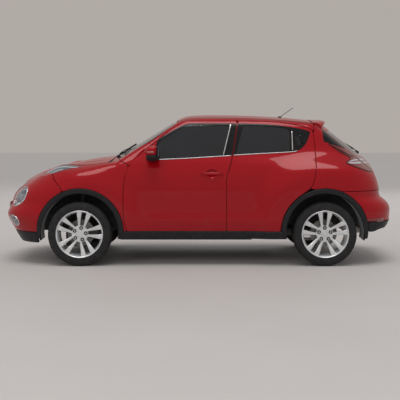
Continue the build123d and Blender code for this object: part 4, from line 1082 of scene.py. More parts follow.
def build_pulls(side, hand):
    """Front pull: a bar over a dish, an oval bowl whose depth falls off as a superellipse; and the rear door's
    hidden pull in its cup behind the window."""
    def bowl(flat):
        reach = np.hypot((flat[:, 0] - HANDLE[0]) / DISH[0], (flat[:, 1] - HANDLE[1]) / DISH[1])
        return 0.001 + 0.017 * np.sqrt(np.maximum(1 - np.minimum(reach, 1) ** 2.4, 0))

    panel(f"pull_dish_{side}", side_chart, [dish_rim(DISH)], "body_paint", f"front_door_{side}", depth=bowl,
          thick=0.003, rounding=0, spacing=0.006, mirror_of=hand > 0)
    t = np.linspace(-1, 1, 36)
    bar = side_chart(columns(HANDLE[0] + 0.113 * t, HANDLE[1]))
    lift = 0.004 + 0.025 * (1 - np.abs(t) ** 5)[:, None]
    door_piece("front", "door_pull", side, [bead(bar, lift, 0.027, 0.013, 20, 2.8, 1 - 0.18 * np.abs(t) ** 3)],
               "body_paint")
    inlay = bead(bar, lift + 0.0062, 0.008, 0.002, 10, 2.6, 1 - 0.6 * np.abs(t) ** 4)
    door_piece("front", "door_pull_inlay", side, [inlay], "body_paint")
    well = side_chart(curve((1042, 1330), (1052, 1290), (1060, 1235)))
    lever = side_chart(curve((1066, 1345), (1086, 1310), (1096, 1262)))
    door_piece("rear", "hidden_pull_cup", side, [bead(well, 0.0008, 0.052, 0.004, 20, 3.5)], "seal_rubber")
    door_piece("rear", "hidden_pull", side, [bead(lever, 0.006, 0.022, 0.01, 16, 3)], "gloss_black")


# ---------------------------------------------------------------- body shell
def build_side_shell():
    """Roof rails with screen pillars, door jambs as rings inside the shut lines, and sills."""
    rail = loop(SHOULDER, side_line(*FRONT_EDGE[5:]), side_line(*ROOF_SIDE, smooth=False),
                side_line(*REAR_TOP), side_line((1216, 1388), (1229, 1396)),
                top_line((1229, -505), (-222, -507)), top_line(*reversed(SCREEN_SIDE)),
                top_line((-810, -622), (-882, -654)), side_line((-880, 1120), (-735, 1045)), room=0.0025)
    obj = panel("roof_rails", shoulder_chart, [rail], "body_paint", thick=0.022, both=True)
    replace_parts(obj, "side_frames")
    # The jambs take the darkened paint: painted shade inside the shut lines.
    for which in ("front", "rear"):
        ring = [door_outline(which, -0.008), door_outline(which, 0.024)]
        panel(f"{which}_door_jambs", side_chart, ring, "jamb_paint", depth=0.0235, thick=0.055, rounding=0.003,
              both=True)
    # The sills take the same darkened paint: painted shade under the door openings.
    sill = loop(SIDE, side_line((-758, 284), (848, 284)), side_line((848, 372), (-758, 372)), passes=1)
    panel("sills", side_chart, [sill], "jamb_paint", depth=0.0235, thick=0.1, rounding=0.004, spacing=0.04,
          both=True)


def build_roof():
    outline = halves(PLAN, 1, top_line((1214, 0), (1214, -505)), top_line((1214, -505), (-222, -505)),
                     top_line((-222, -505), (-222, 0)), room=0.003)

    def ribs(flat):
        """Two long shallow swages either side of the middle."""
        run = ease((flat[:, 0] + 0.15) / 0.25) * ease((1.15 - flat[:, 0]) / 0.25)
        return 0.004 * np.exp(-(((np.abs(flat[:, 1]) - 0.27) / 0.022) ** 2)) * run

    obj = panel("roof_skin", plan_chart, [outline], "body_paint", thick=0.014, spacing=0.02, depth=ribs)
    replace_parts(obj, "roof_panel")
    ditch = strip(plan_chart, mm((-222, -510), (1212, -508)), 0.012, 0.006, -0.001)
    add_piece("roof_ditch_strips", with_mirror([ditch]), "seal_rubber")


def build_screen():
    """Windscreen, cowl, and wipers whose arms rise by half a sine."""
    outline = halves(PLAN, 1, top_line((-880, 0), (-862, -310), (-810, -620)), top_line(*SCREEN_SIDE),
                     top_line((-226, -553), (-226, 0)), room=0.002)
    obj = panel("windscreen_pane", plan_chart, [outline], "screen_glass", depth=0.001, thick=0.005,
                rounding=0.0015, spacing=0.02, slot="screen")
    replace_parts(obj, "windscreen")
    outline = halves(PLAN, 1, top_line((-888, 0), (-895, -400), (-935, -690)),
                     top_line((-935, -690), (-880, -655), (-812, -622), smooth=False),
                     top_line((-812, -622), (-864, -310), (-882, 0)), room=0.001, passes=1, step=0.008)
    cowl = panel("cowl_panel", plan_chart, [outline], "cladding", depth=0.002, thick=0.012, rounding=0.001,
                 spacing=0.02, slot="cladding")
    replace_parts(cowl, "cowl")
    parts = []
    for pivot, elbow, tip, near_end in (((-858, -420), (-800, -180), (-690, 20), (-790, -470)),
                                        ((-872, 90), (-830, 300), (-735, 500), (-850, 60))):
        arm = plan_chart(curve(pivot, elbow, ((elbow[0] + tip[0]) / 2, (elbow[1] + tip[1]) / 2)))
        t = np.linspace(0, 1, len(arm))[:, None]
        parts.append(bead(arm, 0.012 + 0.012 * np.sin(np.pi * t), 0.014, 0.008))
        blade = plan_chart(even(mm(near_end, tip), 0.02))
        parts.append(bead(blade, 0.016, 0.01, 0.01))
        parts.append(bead(blade, 0.008, 0.003, 0.01, 8))
        base = plan_chart(mm(pivot, pivot))[0]
        parts.append(rounded_box(base - (0.02, 0.02, 0.006), base + (0.02, 0.02, 0.024), 2.6, 14))
    add_piece("front_wipers", parts, "seal_rubber")


def build_bonnet():
    outline = halves(PLAN, 1, top_line((-893, 0), (-900, -400), (-940, -690)), top_line(*BONNET_SIDE),
                     top_line((-1822, -430), (-1834, -200), (-1838, 0)), room=0.0025)

    def creases(flat):
        """A raised middle with a soft step each side that spreads towards the screen."""
        edge = 0.3 + 0.24 * (flat[:, 0] + 1.83)
        run = ease((flat[:, 0] + 1.8) / 0.22) * ease((-0.9 - flat[:, 0]) / 0.25)
        return -0.006 * run * ease((edge - np.abs(flat[:, 1])) / 0.05 + 0.5)

    obj = panel("bonnet_skin", plan_chart, [outline], "body_paint", "bonnet", depth=creases, thick=0.018,
                spacing=0.017)
    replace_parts(obj, "bonnet")


def build_fenders():
    arch = arc(FRONT_X, FRONT_ARCH_CUT, 113.6, 1.2)
    outline = loop(SHOULDER, seen_side(arch), side_line(*FRONT_EDGE[:6]),
                   side_line((-722, 1029), (-735, 1044), (-880, 1122), smooth=False),
                   top_line((-905, -684), *BONNET_SIDE), side_line(*reversed(BUMPER_EDGE)), room=0.0025)
    lamp = loop(SHOULDER, top_line(*LAMP_PLAN, LAMP_PLAN[0]), passes=3, step=0.009)
    obj = panel("front_fender_skins", shoulder_chart, [outline, shifted(lamp, -0.001)], "body_paint",
                thick=0.014, spacing=0.02, both=True)
    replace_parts(obj, "front_fenders")
    panel("crown_lamp_lenses", shoulder_chart, [shifted(lamp, 0.001)], "lens_clear", depth=-0.001, thick=0.003,
          rounding=0.002, spacing=0.016, both=True, slot="lamp")
    panel("crown_lamp_housings", shoulder_chart, [lamp], "gloss_black", depth=0.018, thick=0.006,
          rounding=0.002, spacing=0.02, both=True, slot="trim")
    inner = curve((-1655, -560), (-1560, -588), (-1450, -628), (-1330, -664), (-1262, -680))
    guide = strip(plan_chart, inner, 0.02, 0.008, -0.01)
    second = strip(plan_chart, curve((-1640, -620), (-1540, -655), (-1420, -685)), 0.01, 0.006, -0.011)
    add_piece("crown_lamp_guides", with_mirror([guide, second]), "lens_white")


HEADLAMP = (-0.59, 0.7, 0.102)
FOG_LAMP = (-0.64, 0.455, 0.055)


def nose_angle(pair):
    """First coordinate on the nose's chart of a place in side view."""
    return float(nose_flat(seen_side(np.array([pair])))[0, 0])


def grille_openings():
    """Outlines of the upper grille and the lower intake."""
    upper = halves(NOSE_END, 0, front_line((0, 842), (-330, 842), (-395, 815)),
                   front_line((-395, 815), (-300, 690), (-235, 640), (0, 640)), passes=4)
    lower = halves(NOSE_END, 0, front_line((0, 520), (-400, 520), (-430, 500)),
                   front_line((-430, 500), (-390, 375), (0, 375)), passes=4)
    return [upper, lower]


def build_front_bumper():
    """Bumper skin with its openings, and apron and skid plate under it."""
    end_a = nose_angle((-1.66, 0.34))
    arch = seen_side(arc(FRONT_X, FRONT_ARCH_CUT, 181.0, 113.6))
    corner = side_line(*BUMPER_EDGE)
    bonnet_front = top_line((-1822, -430), (-1834, -200), (-1838, 0))
    bottom = along(nose_chart, (0, 0.342), (end_a, 0.342))
    outline = halves(NOSE_END, 0, bottom, arch, corner, bonnet_front, room=0.0025)
    holes = grille_openings()
    for y, z, r in (HEADLAMP, FOG_LAMP):
        for hand in (1, -1):
            ring = circle(y * hand, z, r, seen_front)
            holes.append(loop(NOSE_END, ring, passes=0, step=0.009))
    obj = panel("front_bumper_skin", nose_chart, [outline, *holes], "body_paint", thick=0.022, spacing=0.019)
    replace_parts(obj, "front_bumper")
    arch = seen_side(arc(FRONT_X, FRONT_ARCH_CUT, 195.7, 181.5))
    low_a = nose_angle((-1.6577, 0.2265))
    apron = halves(NOSE_END, 0, along(nose_chart, (0, 0.2265), (low_a, 0.2265)), arch,
                   along(nose_chart, (end_a, 0.34), (0, 0.34)), room=0.001)
    panel("front_apron", nose_chart, [apron], "cladding", depth=-0.002, thick=0.022, rounding=0.006,
          slot="cladding")
    skid = halves(NOSE_END, 0, along(nose_chart, (0, 0.236), (0.36, 0.236)),
                  along(nose_chart, (0.43, 0.325), (0.3, 0.325), (0.26, 0.285), (0, 0.285)), passes=3)
    panel("front_skid_plate", nose_chart, [skid], "skid_silver", depth=-0.009, thick=0.014, rounding=0.005,
          spacing=0.018, slot="alloy")


def build_grilles():
    """Backings, bars, frames and the bright bar of the front openings, and a blank plate."""
    edge = front_line((0, 850), (-340, 850), (-405, 818), (-300, 680), (-235, 630), (0, 630))
    backing = halves(NOSE_END, 0, edge)
    obj = panel("grille_backing", nose_chart, [backing], "seal_rubber", depth=0.04, thick=0.006,
                rounding=0.001, spacing=0.04, slot="trim")
    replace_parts(obj, "grille")
    backing = halves(NOSE_END, 0, front_line((0, 530), (-410, 530), (-440, 500), (-395, 338), (0, 338)))
    panel("intake_backing", nose_chart, [backing], "seal_rubber", depth=0.04, thick=0.006, rounding=0.001,
          spacing=0.04, slot="trim")
    bars = []

    def bar(points, width=0.008, height=0.014, lift=-0.022):
        """Grille bar along a line of the front view, sunk behind the skin by lift."""
        line = nose_chart(nose_flat(seen_front(even(points, 0.02))))
        bars.append(bead(line, lift, width, height, 10))

    for z, reach in ((0.665, 0.255), (0.695, 0.285), (0.725, 0.312), (0.755, 0.338), (0.785, 0.364),
                     (0.815, 0.385)):
        bar([(-reach, z), (reach, z)])
    for y in np.linspace(-0.36, 0.36, 19):
        low = 0.648 + max(0, abs(y) - 0.24) * 1.15
        bar([(y, low), (y, 0.836)], 0.005, 0.01, -0.026)
    for z in (0.405, 0.435, 0.465, 0.495):
        bar([(-0.39 - (z - 0.4) * 0.3, z), (0.39 + (z - 0.4) * 0.3, z)])
    for y in np.linspace(-0.36, 0.36, 13):
        bar([(y, 0.382), (y, 0.514)], 0.005, 0.01, -0.026)
    add_piece("grille_bars", bars, "gloss_black")
    upper, lower = grille_openings()
    frames = [ring_tube(upper, -0.003, 0.012, 0.01, 10), ring_tube(lower, -0.004, 0.012, 0.01, 10)]
    add_piece("grille_frames", frames, "gloss_black")
    wing = nose_chart(nose_flat(seen_front(even(mm((-372, 800), (-120, 742), (0, 735)), 0.012))))
    wing = np.vstack([wing, wing[-2::-1] * (1, -1, 1)])
    add_piece("grille_bright_bar", [bead(wing, -0.006, 0.014, 0.01, 14)], "bright_trim")
    plate = rounded_box((-2.064, -0.26, 0.536), (-2.056, 0.26, 0.622), 12, 20)
    add_piece("front_blank_plate", [plate], "blank_plate")


def ring_tube(points, lift, width, height, sides=12):
    return bead(nose_chart(np.vstack([points, points[:1]])), lift, width, height, sides)


def build_round_lamps():
    """Head and fog lamps: a glass bulging as a paraboloid, a bowl sunk as half an ellipsoid."""
    lenses, bezels, bowls, projectors, guides = [], [], [], [], []
    for (y, z, r), deep in ((HEADLAMP, 0.062), (FOG_LAMP, 0.035)):
        centre = nose_flat(seen_front(np.array([[y, z]])))[0]
        rim = loop(NOSE_END, circle(y, z, r - 0.001, seen_front), passes=0, step=0.008)
        size = np.abs(rim - centre).max(axis=0)

        def fall(flat, centre=centre, size=size):
            return np.maximum(1 - np.linalg.norm((flat - centre) / size, axis=1) ** 2, 0)

        def glass(flat, fall=fall):
            return -0.001 - 0.006 * fall(flat)

        def hollow(flat, fall=fall, deep=deep):
            return 0.01 + deep * np.sqrt(fall(flat))

        lenses.append(closed_sheet(nose_chart, [rim], glass, 0.003, 0.0015, 0.01)[:2])
        bowls.append(closed_sheet(nose_chart, [rim], hollow, 0.003, 0.0, 0.008)[:2])
        bezels.append(ring_tube(rim, 0.0005, 0.008, 0.01))
        inner = centre + (rim - centre) * 0.83
        guides.append(ring_tube(inner, -0.01, 0.012 if deep > 0.05 else 0.006, 0.006))
        at = nose_chart(centre[None])[0] - outward(nose_chart(centre[None]))[0] * deep * 0.62
        ball = r * 0.42
        projectors.append(rounded_box(at - ball, at + ball, 2.0, 20))
    add_piece("round_lamp_bezels", with_mirror(bezels), "bright_trim")
    add_piece("round_lamp_guides", with_mirror(guides), "lens_white")
    add_piece("round_lamp_projectors", with_mirror(projectors), "lens_clear")
    lens_object = add_piece("round_lamp_lenses", with_mirror(lenses), "lens_clear")
    add_piece("round_lamp_bowls", with_mirror(bowls), "reflector")
    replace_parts(lens_object, "front_lamps")


# ---------------------------------------------------------------- rear end
def tail_angle(seen, pair):
    """First coordinate on the tail's chart of a place in side or back view."""
    return float(tail_flat(seen(np.array([pair])))[0, 0])


def wing_join():
    """Seam between rear quarter and bumper, from the tailgate's opening to the arch."""
    ends = (tail_angle(seen_back, (-0.521, WING_LINE)), tail_angle(seen_side, (1.4725, WING_LINE)))
    return along(tail_chart, *((end, WING_LINE) for end in ends))


def build_rear_quarters():
    """Skins from rear door to tailgate, above the bumper seam."""
    outline = loop(TAIL_END, side_line(*reversed(REAR_EDGE)), side_line((1216, 1388), (1229, 1394)),
                   top_line((1231, -509), (1325, -509)), back_line(*GATE_SIDE[:-1], smooth=True), wing_join(),
                   seen_side(arc(REAR_X, QUARTER_ARCH_CUT, 68.4, 103)), room=0.0025)
    obj = panel("rear_quarter_skins", tail_chart, [outline], "body_paint", thick=0.018, spacing=0.021,
                both=True)
    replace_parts(obj, "rear_quarters")


def build_tail_lamps():
    """Lenses that stand out of the quarters, with clear bands, shade lines and seals."""
    lamp = loop(TAIL_END, side_line((1372, 1262), (1470, 1230), (1560, 1199)),
                back_line((-553, 1187), (-567, 1140), (-570, 1100), (-566, 1030), (-553, 966), smooth=True),
                side_line((1815, 964), (1770, 972), (1640, 1015), (1536, 1056)),
                side_line((1540, 1068), (1604, 1101)), side_line((1596, 1112), (1500, 1165), (1372, 1256)),
                step=0.008)
    red = panel("tail_lamp_lenses", tail_chart, [shifted(lamp, 0.001)], "lens_red", depth=-0.006, thick=0.012,
                rounding=0.006, spacing=0.014, both=True, slot="tail_lamp")
    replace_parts(red, "tail_lamps")
    bands = {"upper": (((1562, 1069), (1612, 1086), (1676, 1095)), ((1692, 1077), (1640, 1076), (1580, 1069))),
             "lower": (((1548, 1062), (1600, 1065), (1708, 1066)), ((1728, 1047), (1660, 1046), (1580, 1050)))}
    for name, edges in bands.items():
        band = loop(TAIL_END, *(side_line(*edge) for edge in edges), passes=1, step=0.008)
        panel(f"tail_lamp_{name}_clear_bands", tail_chart, [band], "lens_white", depth=-0.0078, thick=0.008,
              rounding=0.002, spacing=0.01, both=True, slot="lamp")
    shade_line = loop(TAIL_END, side_line((1400, 1240), (1500, 1186), (1600, 1136), (1640, 1122)),
                      side_line((1636, 1112), (1598, 1122), (1500, 1172)), passes=1, step=0.008)
    panel("tail_lamp_shade_lines", tail_chart, [shade_line], "gloss_black", depth=-0.0076, thick=0.008,
          rounding=0.002, spacing=0.01, both=True, slot="trim")
    seal = bead(tail_chart(np.vstack([lamp, lamp[:1]])), 0.001, 0.009, 0.007, 10)
    add_piece("tail_lamp_seals", with_mirror([seal]), "gloss_black")


def build_rear_corner_glass():
    """Black glass that wraps the corner between side and rear windows."""
    front = side_line((1326, 1446), (1318, 1380), (1318, 1310), (1330, 1277), (1372, 1266), (1470, 1236),
                      (1556, 1205))
    back = back_line((-550, 1205), (-534, 1250), (-512, 1335), (-494, 1400), (-509, 1450), smooth=True)
    wrap = loop(TAIL_END, front, back, passes=1, step=0.009)
    panel("rear_corner_glass", tail_chart, [wrap], "gloss_black", depth=-0.0012, thick=0.009, rounding=0.002,
          spacing=0.016, both=True, slot="trim")


def build_rear_bumper():
    arch_low = tail_angle(seen_side, (1.7477, 0.452))
    bumper = halves(TAIL_END, 0, along(tail_chart, (0, 0.452), (arch_low, 0.452)),
                    seen_side(arc(REAR_X, REAR_ARCH_CUT, 13.4, 68.4)), wing_join()[::-1],
                    back_line((-523, 760), (-516, 684), (0, 684)), room=0.0025)
    obj = panel("rear_bumper_skin", tail_chart, [bumper], "body_paint", thick=0.02, spacing=0.02)
    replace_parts(obj, "rear_bumper")
    arch_base = tail_angle(seen_side, (1.759, 0.347))
    edge = curve((0, 404), (350, 400), (620, 372), (1000 * arch_base - 60, 349), (1000 * arch_base, 347))
    valance = halves(TAIL_END, 0, tail_chart(edge), seen_side(arc(REAR_X, REAR_ARCH_CUT, 0.5, 13.2)),
                     along(tail_chart, (arch_low, 0.45), (0, 0.45)), room=0.001)

    def inset(flat):
        """Lower valance: a shallow step inwards between the corners."""
        return -0.002 + 0.012 * ease((0.55 - np.abs(flat[:, 0])) / 0.03) * ease((0.44 - flat[:, 1]) / 0.015)

    panel("rear_valance", tail_chart, [valance], "cladding", depth=inset, thick=0.02, rounding=0.004,
          spacing=0.014, slot="cladding")
    skid = halves(TAIL_END, 0, along(tail_chart, (0, 0.402), (0.36, 0.399)),
                  along(tail_chart, (0.42, 0.438), (0, 0.438)), passes=3)
    panel("rear_skid_plate", tail_chart, [skid], "skid_silver", depth=0.004, thick=0.012, rounding=0.004,
          spacing=0.02, slot="alloy")
    reflector = bead(along(tail_chart, (0.6, 0.475), (0.78, 0.475)), 0.001, 0.028, 0.006, 16, 5)
    add_piece("rear_reflectors", with_mirror([reflector]), "lens_red")


def tailgate_outline():
    return halves(GATE, 0, top_line((1214, 0), (1214, -503)), top_line((1214, -503), (1325, -503)),
                  back_line(*GATE_SIDE, smooth=True), back_line((-516, 690), (0, 690)), room=0.003)


def tailgate_window():
    edge = back_line((0, 1394), (-478, 1392), (-514, 1270), (-528, 1222), (-474, 1170), (-400, 1136),
                     (-300, 1120), (0, 1114))
    return halves(GATE, 0, edge, passes=3)


def build_tailgate_skin():
    def recess(flat):
        """Blank plate's recess: a flat-bottomed step, eased at its edges."""
        z = gate_chart(flat)[:, 2]
        across = ease((0.31 - np.abs(flat[:, 0])) / 0.035)
        return 0.024 * across * ease((z - 0.755) / 0.03) * ease((0.925 - z) / 0.03)

    loops = [tailgate_outline(), tailgate_window()]
    obj = panel("tailgate_skin", gate_chart, loops, "body_paint", "tailgate", depth=recess, thick=0.03,
                spacing=0.016)
    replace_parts(obj, "tailgate")


def build_tailgate_lamps():
    edge = back_line((-545, 1186), (-475, 1151), (-400, 1116), (-382, 1088), (-400, 1030), (-450, 985),
                     (-539, 967))
    seam = back_line((-551, 1030), (-555, 1100), (-552, 1150), smooth=True)
    lamp = loop(GATE, edge, seam, step=0.008)
    panel("tailgate_lamp_lenses", gate_chart, [lamp], "lens_red", "tailgate", depth=-0.005, thick=0.01,
          rounding=0.005, spacing=0.012, both=True, slot="tail_lamp")
    bands = [back_line((-551, 1091), (-470, 1094), (-402, 1096), (-404, 1078), (-470, 1073), (-551, 1072)),
             back_line((-551, 1063), (-470, 1062), (-404, 1060), (-412, 1043), (-470, 1042), (-549, 1044))]
    for name, band in zip(("upper", "lower"), bands):
        panel(f"tailgate_lamp_{name}_clear_bands", gate_chart, [loop(GATE, band, passes=1, step=0.008)],
              "lens_white", "tailgate", depth=-0.0068, thick=0.008, rounding=0.002, spacing=0.01, both=True,
              slot="lamp")


def build_tailgate_window():
    window = tailgate_window()
    glass = panel("tailgate_window", gate_chart, [shifted(window, -0.003)], "rear_glass", "tailgate",
                  depth=0.002, thick=0.004, rounding=0.001, spacing=0.022, slot="glass")
    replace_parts(glass, "tailgate_glass")
    lining = shifted(tailgate_outline(), 0.045)
    panel("tailgate_lining", gate_chart, [lining, shifted(window, -0.022)], "soft_plastic", "tailgate",
          depth=0.0302, thick=0.012, rounding=0.003, spacing=0.03, slot="soft_trim")


def build_spoiler():
    """Closed section carried across the tailgate's top edge: its tips sweep forward by a power of the distance
    from the middle, and its height follows the roof's sheet; and the brake lamp along its edge."""
    half, reach = 0.49, 0.175
    v = np.linspace(-1, 1, 61)[:, None]
    along_x, over_roof = mm((1224, 4), (1290, 9), (1345, 10), (1385, 6), (1398.5, -2), (1399, -10),
                            (1392, -17), (1375, -22), (1345, -22), (1290, -14), (1224, -10)).T[:, None]
    x = along_x - (along_x - along_x[0, 0]) / reach * 0.078 * np.abs(v) ** 2.6
    y = half * v + 0 * x
    crown = roof_at(along_x, 0) + 0.006 * ease((along_x - 1.25) / 0.15)
    z = crown + over_roof - 0.14 * y**2 - 0.03 * ease((along_x - 1.29) / 0.12) * np.abs(v) ** 8
    ends = [[1.3, -half, z[0].mean()], [1.3, half, z[-1].mean()]]
    shell = facing_out(np.vstack([columns(x, y, z).reshape(-1, 3), ends]), capped(*x.shape))
    sharpen(add_piece("tail_spoiler", [shell], "body_paint", "tailgate"), 50)
    t = np.linspace(-1, 1, 30)
    across = 0.16 * t
    lamp = columns(1.3975 - 0.078 * np.abs(0.33 * t) ** 2.6, across, roof_at(1.398, across) + 0.001)
    add_piece("high_brake_lamp", [tube(lamp, 0.006, 0.009, (0, 0, 1), 12, 4)], "lens_red",
              "tailgate")


def build_tailgate_fittings():
    """Pull, leaning blank plate, wiper and hinges."""
    pull = seen_back(even(mm((-245, 948), (245, 948)), 0.015))
    add_piece("tailgate_pull", [bead(pull, 0.004, 0.03, 0.014, 16, 4)], "gloss_black", "tailgate")
    plate_x, plate_z = float(seen_back(np.array([[0.0, 0.842]]))[0, 0]) - 0.016, 0.842
    plate, faces = rounded_box((plate_x - 0.004, -0.26, 0.788), (plate_x + 0.004, 0.26, 0.898), 12, 20)
    plate[:, 0] -= (plate[:, 2] - plate_z) * 0.2
    add_piece("rear_blank_plate", [(plate, faces)], "blank_plate", "tailgate")
    arm = gate_chart(gate_flat(seen_back(curve((0, 1150), (60, 1205), (150, 1240), step=0.01))))
    blade = gate_chart(gate_flat(seen_back(curve((-50, 1190), (120, 1230), (290, 1262)))))
    base = rounded_box(arm[0] - (0.02, 0.028, 0.022), arm[0] + (0.03, 0.028, 0.022), 2.6, 14)
    wiper = [base, bead(arm, 0.018, 0.016, 0.009), bead(blade, 0.009, 0.009, 0.016)]
    add_piece("rear_wiper", wiper, "seal_rubber", "tailgate")
    hinges = [rounded_box((1.196, y - 0.03, 1.462), (1.25, y + 0.03, 1.48), 5, 12) for y in (0.38, -0.38)]
    add_piece("tailgate_hinges", hinges, "cast_metal", "tailgate")


# ---------------------------------------------------------------- arch and sill trims, underside
def build_cladding():
    """One outline in side view: over the front arch, along the sill, over the rear arch, back inside them."""
    outer_end, inner_end = math.degrees(math.asin(0.072 / TRIM_R)), math.degrees(math.asin(0.072 / ARCH_R))
    sill = math.degrees(math.asin(0.008 / TRIM_R))
    flat = np.vstack([
        arc(FRONT_X, TRIM_R, 180 + outer_end, sill), arc(REAR_X, TRIM_R, 180 - sill, -outer_end),
        arc(REAR_X, ARCH_R, -inner_end, 180 + inner_end), arc(FRONT_X, ARCH_R, -inner_end, 180 + inner_end)])
    obj = panel("arch_and_sill_trims", side_chart, [settled(flat, 0.01, 1)], "cladding", depth=-0.007,
                thick=0.024, rounding=0.008, spacing=0.018, both=True, slot="cladding")
    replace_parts(obj, "side_cladding")


def build_flaps():
    """Short dark flaps that carry the arch liners down behind the ends of the trims."""
    flaps = []
    for x in (FRONT_X - ARCH_R - 0.004, REAR_X + ARCH_R + 0.004):
        flaps.append(rounded_box((x - 0.005, -0.855, 0.262), (x + 0.005, -0.655, 0.372), 9, 22))
    add_piece("arch_flaps", with_mirror(flaps), "seal_rubber")


def build_exhaust():
    """Silencer with rolled ends, a front pipe and a short tail pipe behind the bumper."""
    can = rounded_box((1.56, -0.5, 0.3), (1.74, -0.06, 0.405), 4, 30)
    seams = [rounded_box((1.557, y - 0.006, 0.298), (1.743, y + 0.006, 0.407), 4, 22)
             for y in (-0.46, -0.28, -0.1)]
    front = curve((1525, -30), (1545, -34), (1570, -60), (1600, -90))
    front = np.hstack([front, np.full((len(front), 1), 0.345)])
    back = curve((1700, -470), (1780, -480), (1860, -486), (1975, -486))
    back = np.hstack([back, np.linspace(0.35, 0.38, len(back))[:, None]])
    pipes = [tube(front, 0.048, 0.048, (0, 0, 1), 20, 2), tube(back, 0.05, 0.05, (0, 0, 1), 20, 2)]
    obj = add_piece("exhaust_silencer", [can, *seams, *pipes], "pipe_steel")
    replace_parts(obj, "exhaust")


CAD_FINISHES = {"wheel_arch_liners": "felt", "underbody": "pan_paint", "engine_block": "cast_metal",
                "front_subframe": "cast_metal", "rear_axle": "cast_metal", "fuel_tank": "soft_plastic",
                "dashboard": "soft_plastic", "steering_wheel": "seat_bolster", "antenna": "gloss_black",
                "front_knuckle_left": "cast_metal", "front_knuckle_right": "cast_metal", }


def finish_packed_nodes():
    """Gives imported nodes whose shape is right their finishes."""
    for name, finish in CAD_FINISHES.items():
        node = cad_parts[name]
        node.data.materials.clear()
        node.data.materials.append(material(finish))


def build_engine_bay():
    """Cover, battery, bottle, and a hose whose width waves along its length."""
    cover = rounded_box((-1.5, -0.24, 0.8), (-1.06, 0.16, 0.868), 5, 26)
    ribs = [rounded_box((-1.46, y - 0.012, 0.862), (-1.1, y + 0.012, 0.876), 4, 12)
            for y in (-0.16, -0.09, -0.02, 0.05)]
    add_piece("engine_cover", [cover, *ribs], "soft_plastic")
    battery = rounded_box((-1.4, 0.2, 0.8), (-1.18, 0.325, 0.87), 10, 18)
    lid = rounded_box((-1.405, 0.195, 0.862), (-1.175, 0.33, 0.882), 8, 18)
    tank = rounded_box((-1.12, 0.215, 0.8), (-1.02, 0.315, 0.878), 3.5, 18)
    add_piece("battery_and_bottles", [battery, lid, tank], "gloss_black")
    t = np.linspace(0, 1, 40)
    hose = columns(-1.54 + 0.16 * t**2, -0.3 + 0.1 * np.sin(2.2 * t), 0.815 + 0.03 * np.sin(np.pi * t))
    wave = 1 + 0.06 * np.sin(60 * np.pi * t)
    add_piece("intake_hose", [tube(hose, 0.05, 0.05, (0, 0, 1), 20, 2, wave)], "seal_rubber")


# ---------------------------------------------------------------- wheels
def wheel_parts(hub, first):
    """Rim of the left wheel: turned barrel and hub, ten arms in five pairs, and a ring round each nut."""
    axis = np.array([0.0, -1.0, 0.0])
    barrel = [(-0.1125, 0.243), (-0.1045, 0.2432), (-0.1035, 0.2335), (0.0, 0.2335), (0.1035, 0.2335),
              (0.1045, 0.2432), (0.111, 0.2432), (0.1125, 0.2415), (0.112, 0.2385), (0.108, 0.2335),
              (0.1, 0.229), (0.086, 0.225), (0.06, 0.22), (0.0, 0.213), (-0.06, 0.213), (-0.09, 0.219),
              (-0.1035, 0.227), (-0.1125, 0.234)]
    parts = [turned(barrel, hub, 144)]
    plate = [(-0.022, 0.0303), (-0.022, 0.082), (0.036, 0.09), (0.052, 0.089), (0.06, 0.084), (0.0625, 0.076),
             (0.0625, 0.04), (0.06, 0.0303)]
    parts.append(turned(plate, hub, 96))
    arm_width = chosen_size("arm_width")
    s = np.linspace(0, 1, 34)
    radius = 0.066 + 0.167 * s
    depth = 0.032 - 0.006 * s
    front = 0.063 + 0.037 * ease(s * 1.02)
    for k in range(5):
        angle = math.radians(first + 72 * k)
        out = np.array([math.cos(angle), 0.0, math.sin(angle)])
        turn = np.array([-math.sin(angle), 0.0, math.cos(angle)])
        for hand in (1, -1):
            offset = hand * (0.0255 + 0.027 * s)
            path = hub + radius[:, None] * out + offset[:, None] * turn + (front - depth / 2)[:, None] * axis
            parts.append(tube(path, arm_width + 0.036 * s**1.5, depth, axis, 22, 3.6))
        ring = [(0.055, 0.0188), (0.055, 0.0235), (0.0655, 0.0233), (0.068, 0.0222), (0.0682, 0.02),
                (0.066, 0.0188)]
        parts.append(turned(ring, hub + NUT_CIRCLE * out, 36))
    return parts


def nut_parts(hub, first):
    parts, caps = [], []
    for k in range(5):
        angle = math.radians(first + 72 * k)
        at = hub + NUT_CIRCLE * np.array([math.cos(angle), 0.0, math.sin(angle)])
        parts.append(turned([(0.055, 0.0005), (0.055, 0.01), (0.07, 0.01), (0.0728, 0.0076), (0.0738, 0.0005)],
                            at, 6))
        caps.append(turned([(0.055, 0.0003), (0.055, 0.0188), (0.0634, 0.0188), (0.0634, 0.0003)], at, 32))
    return parts, caps


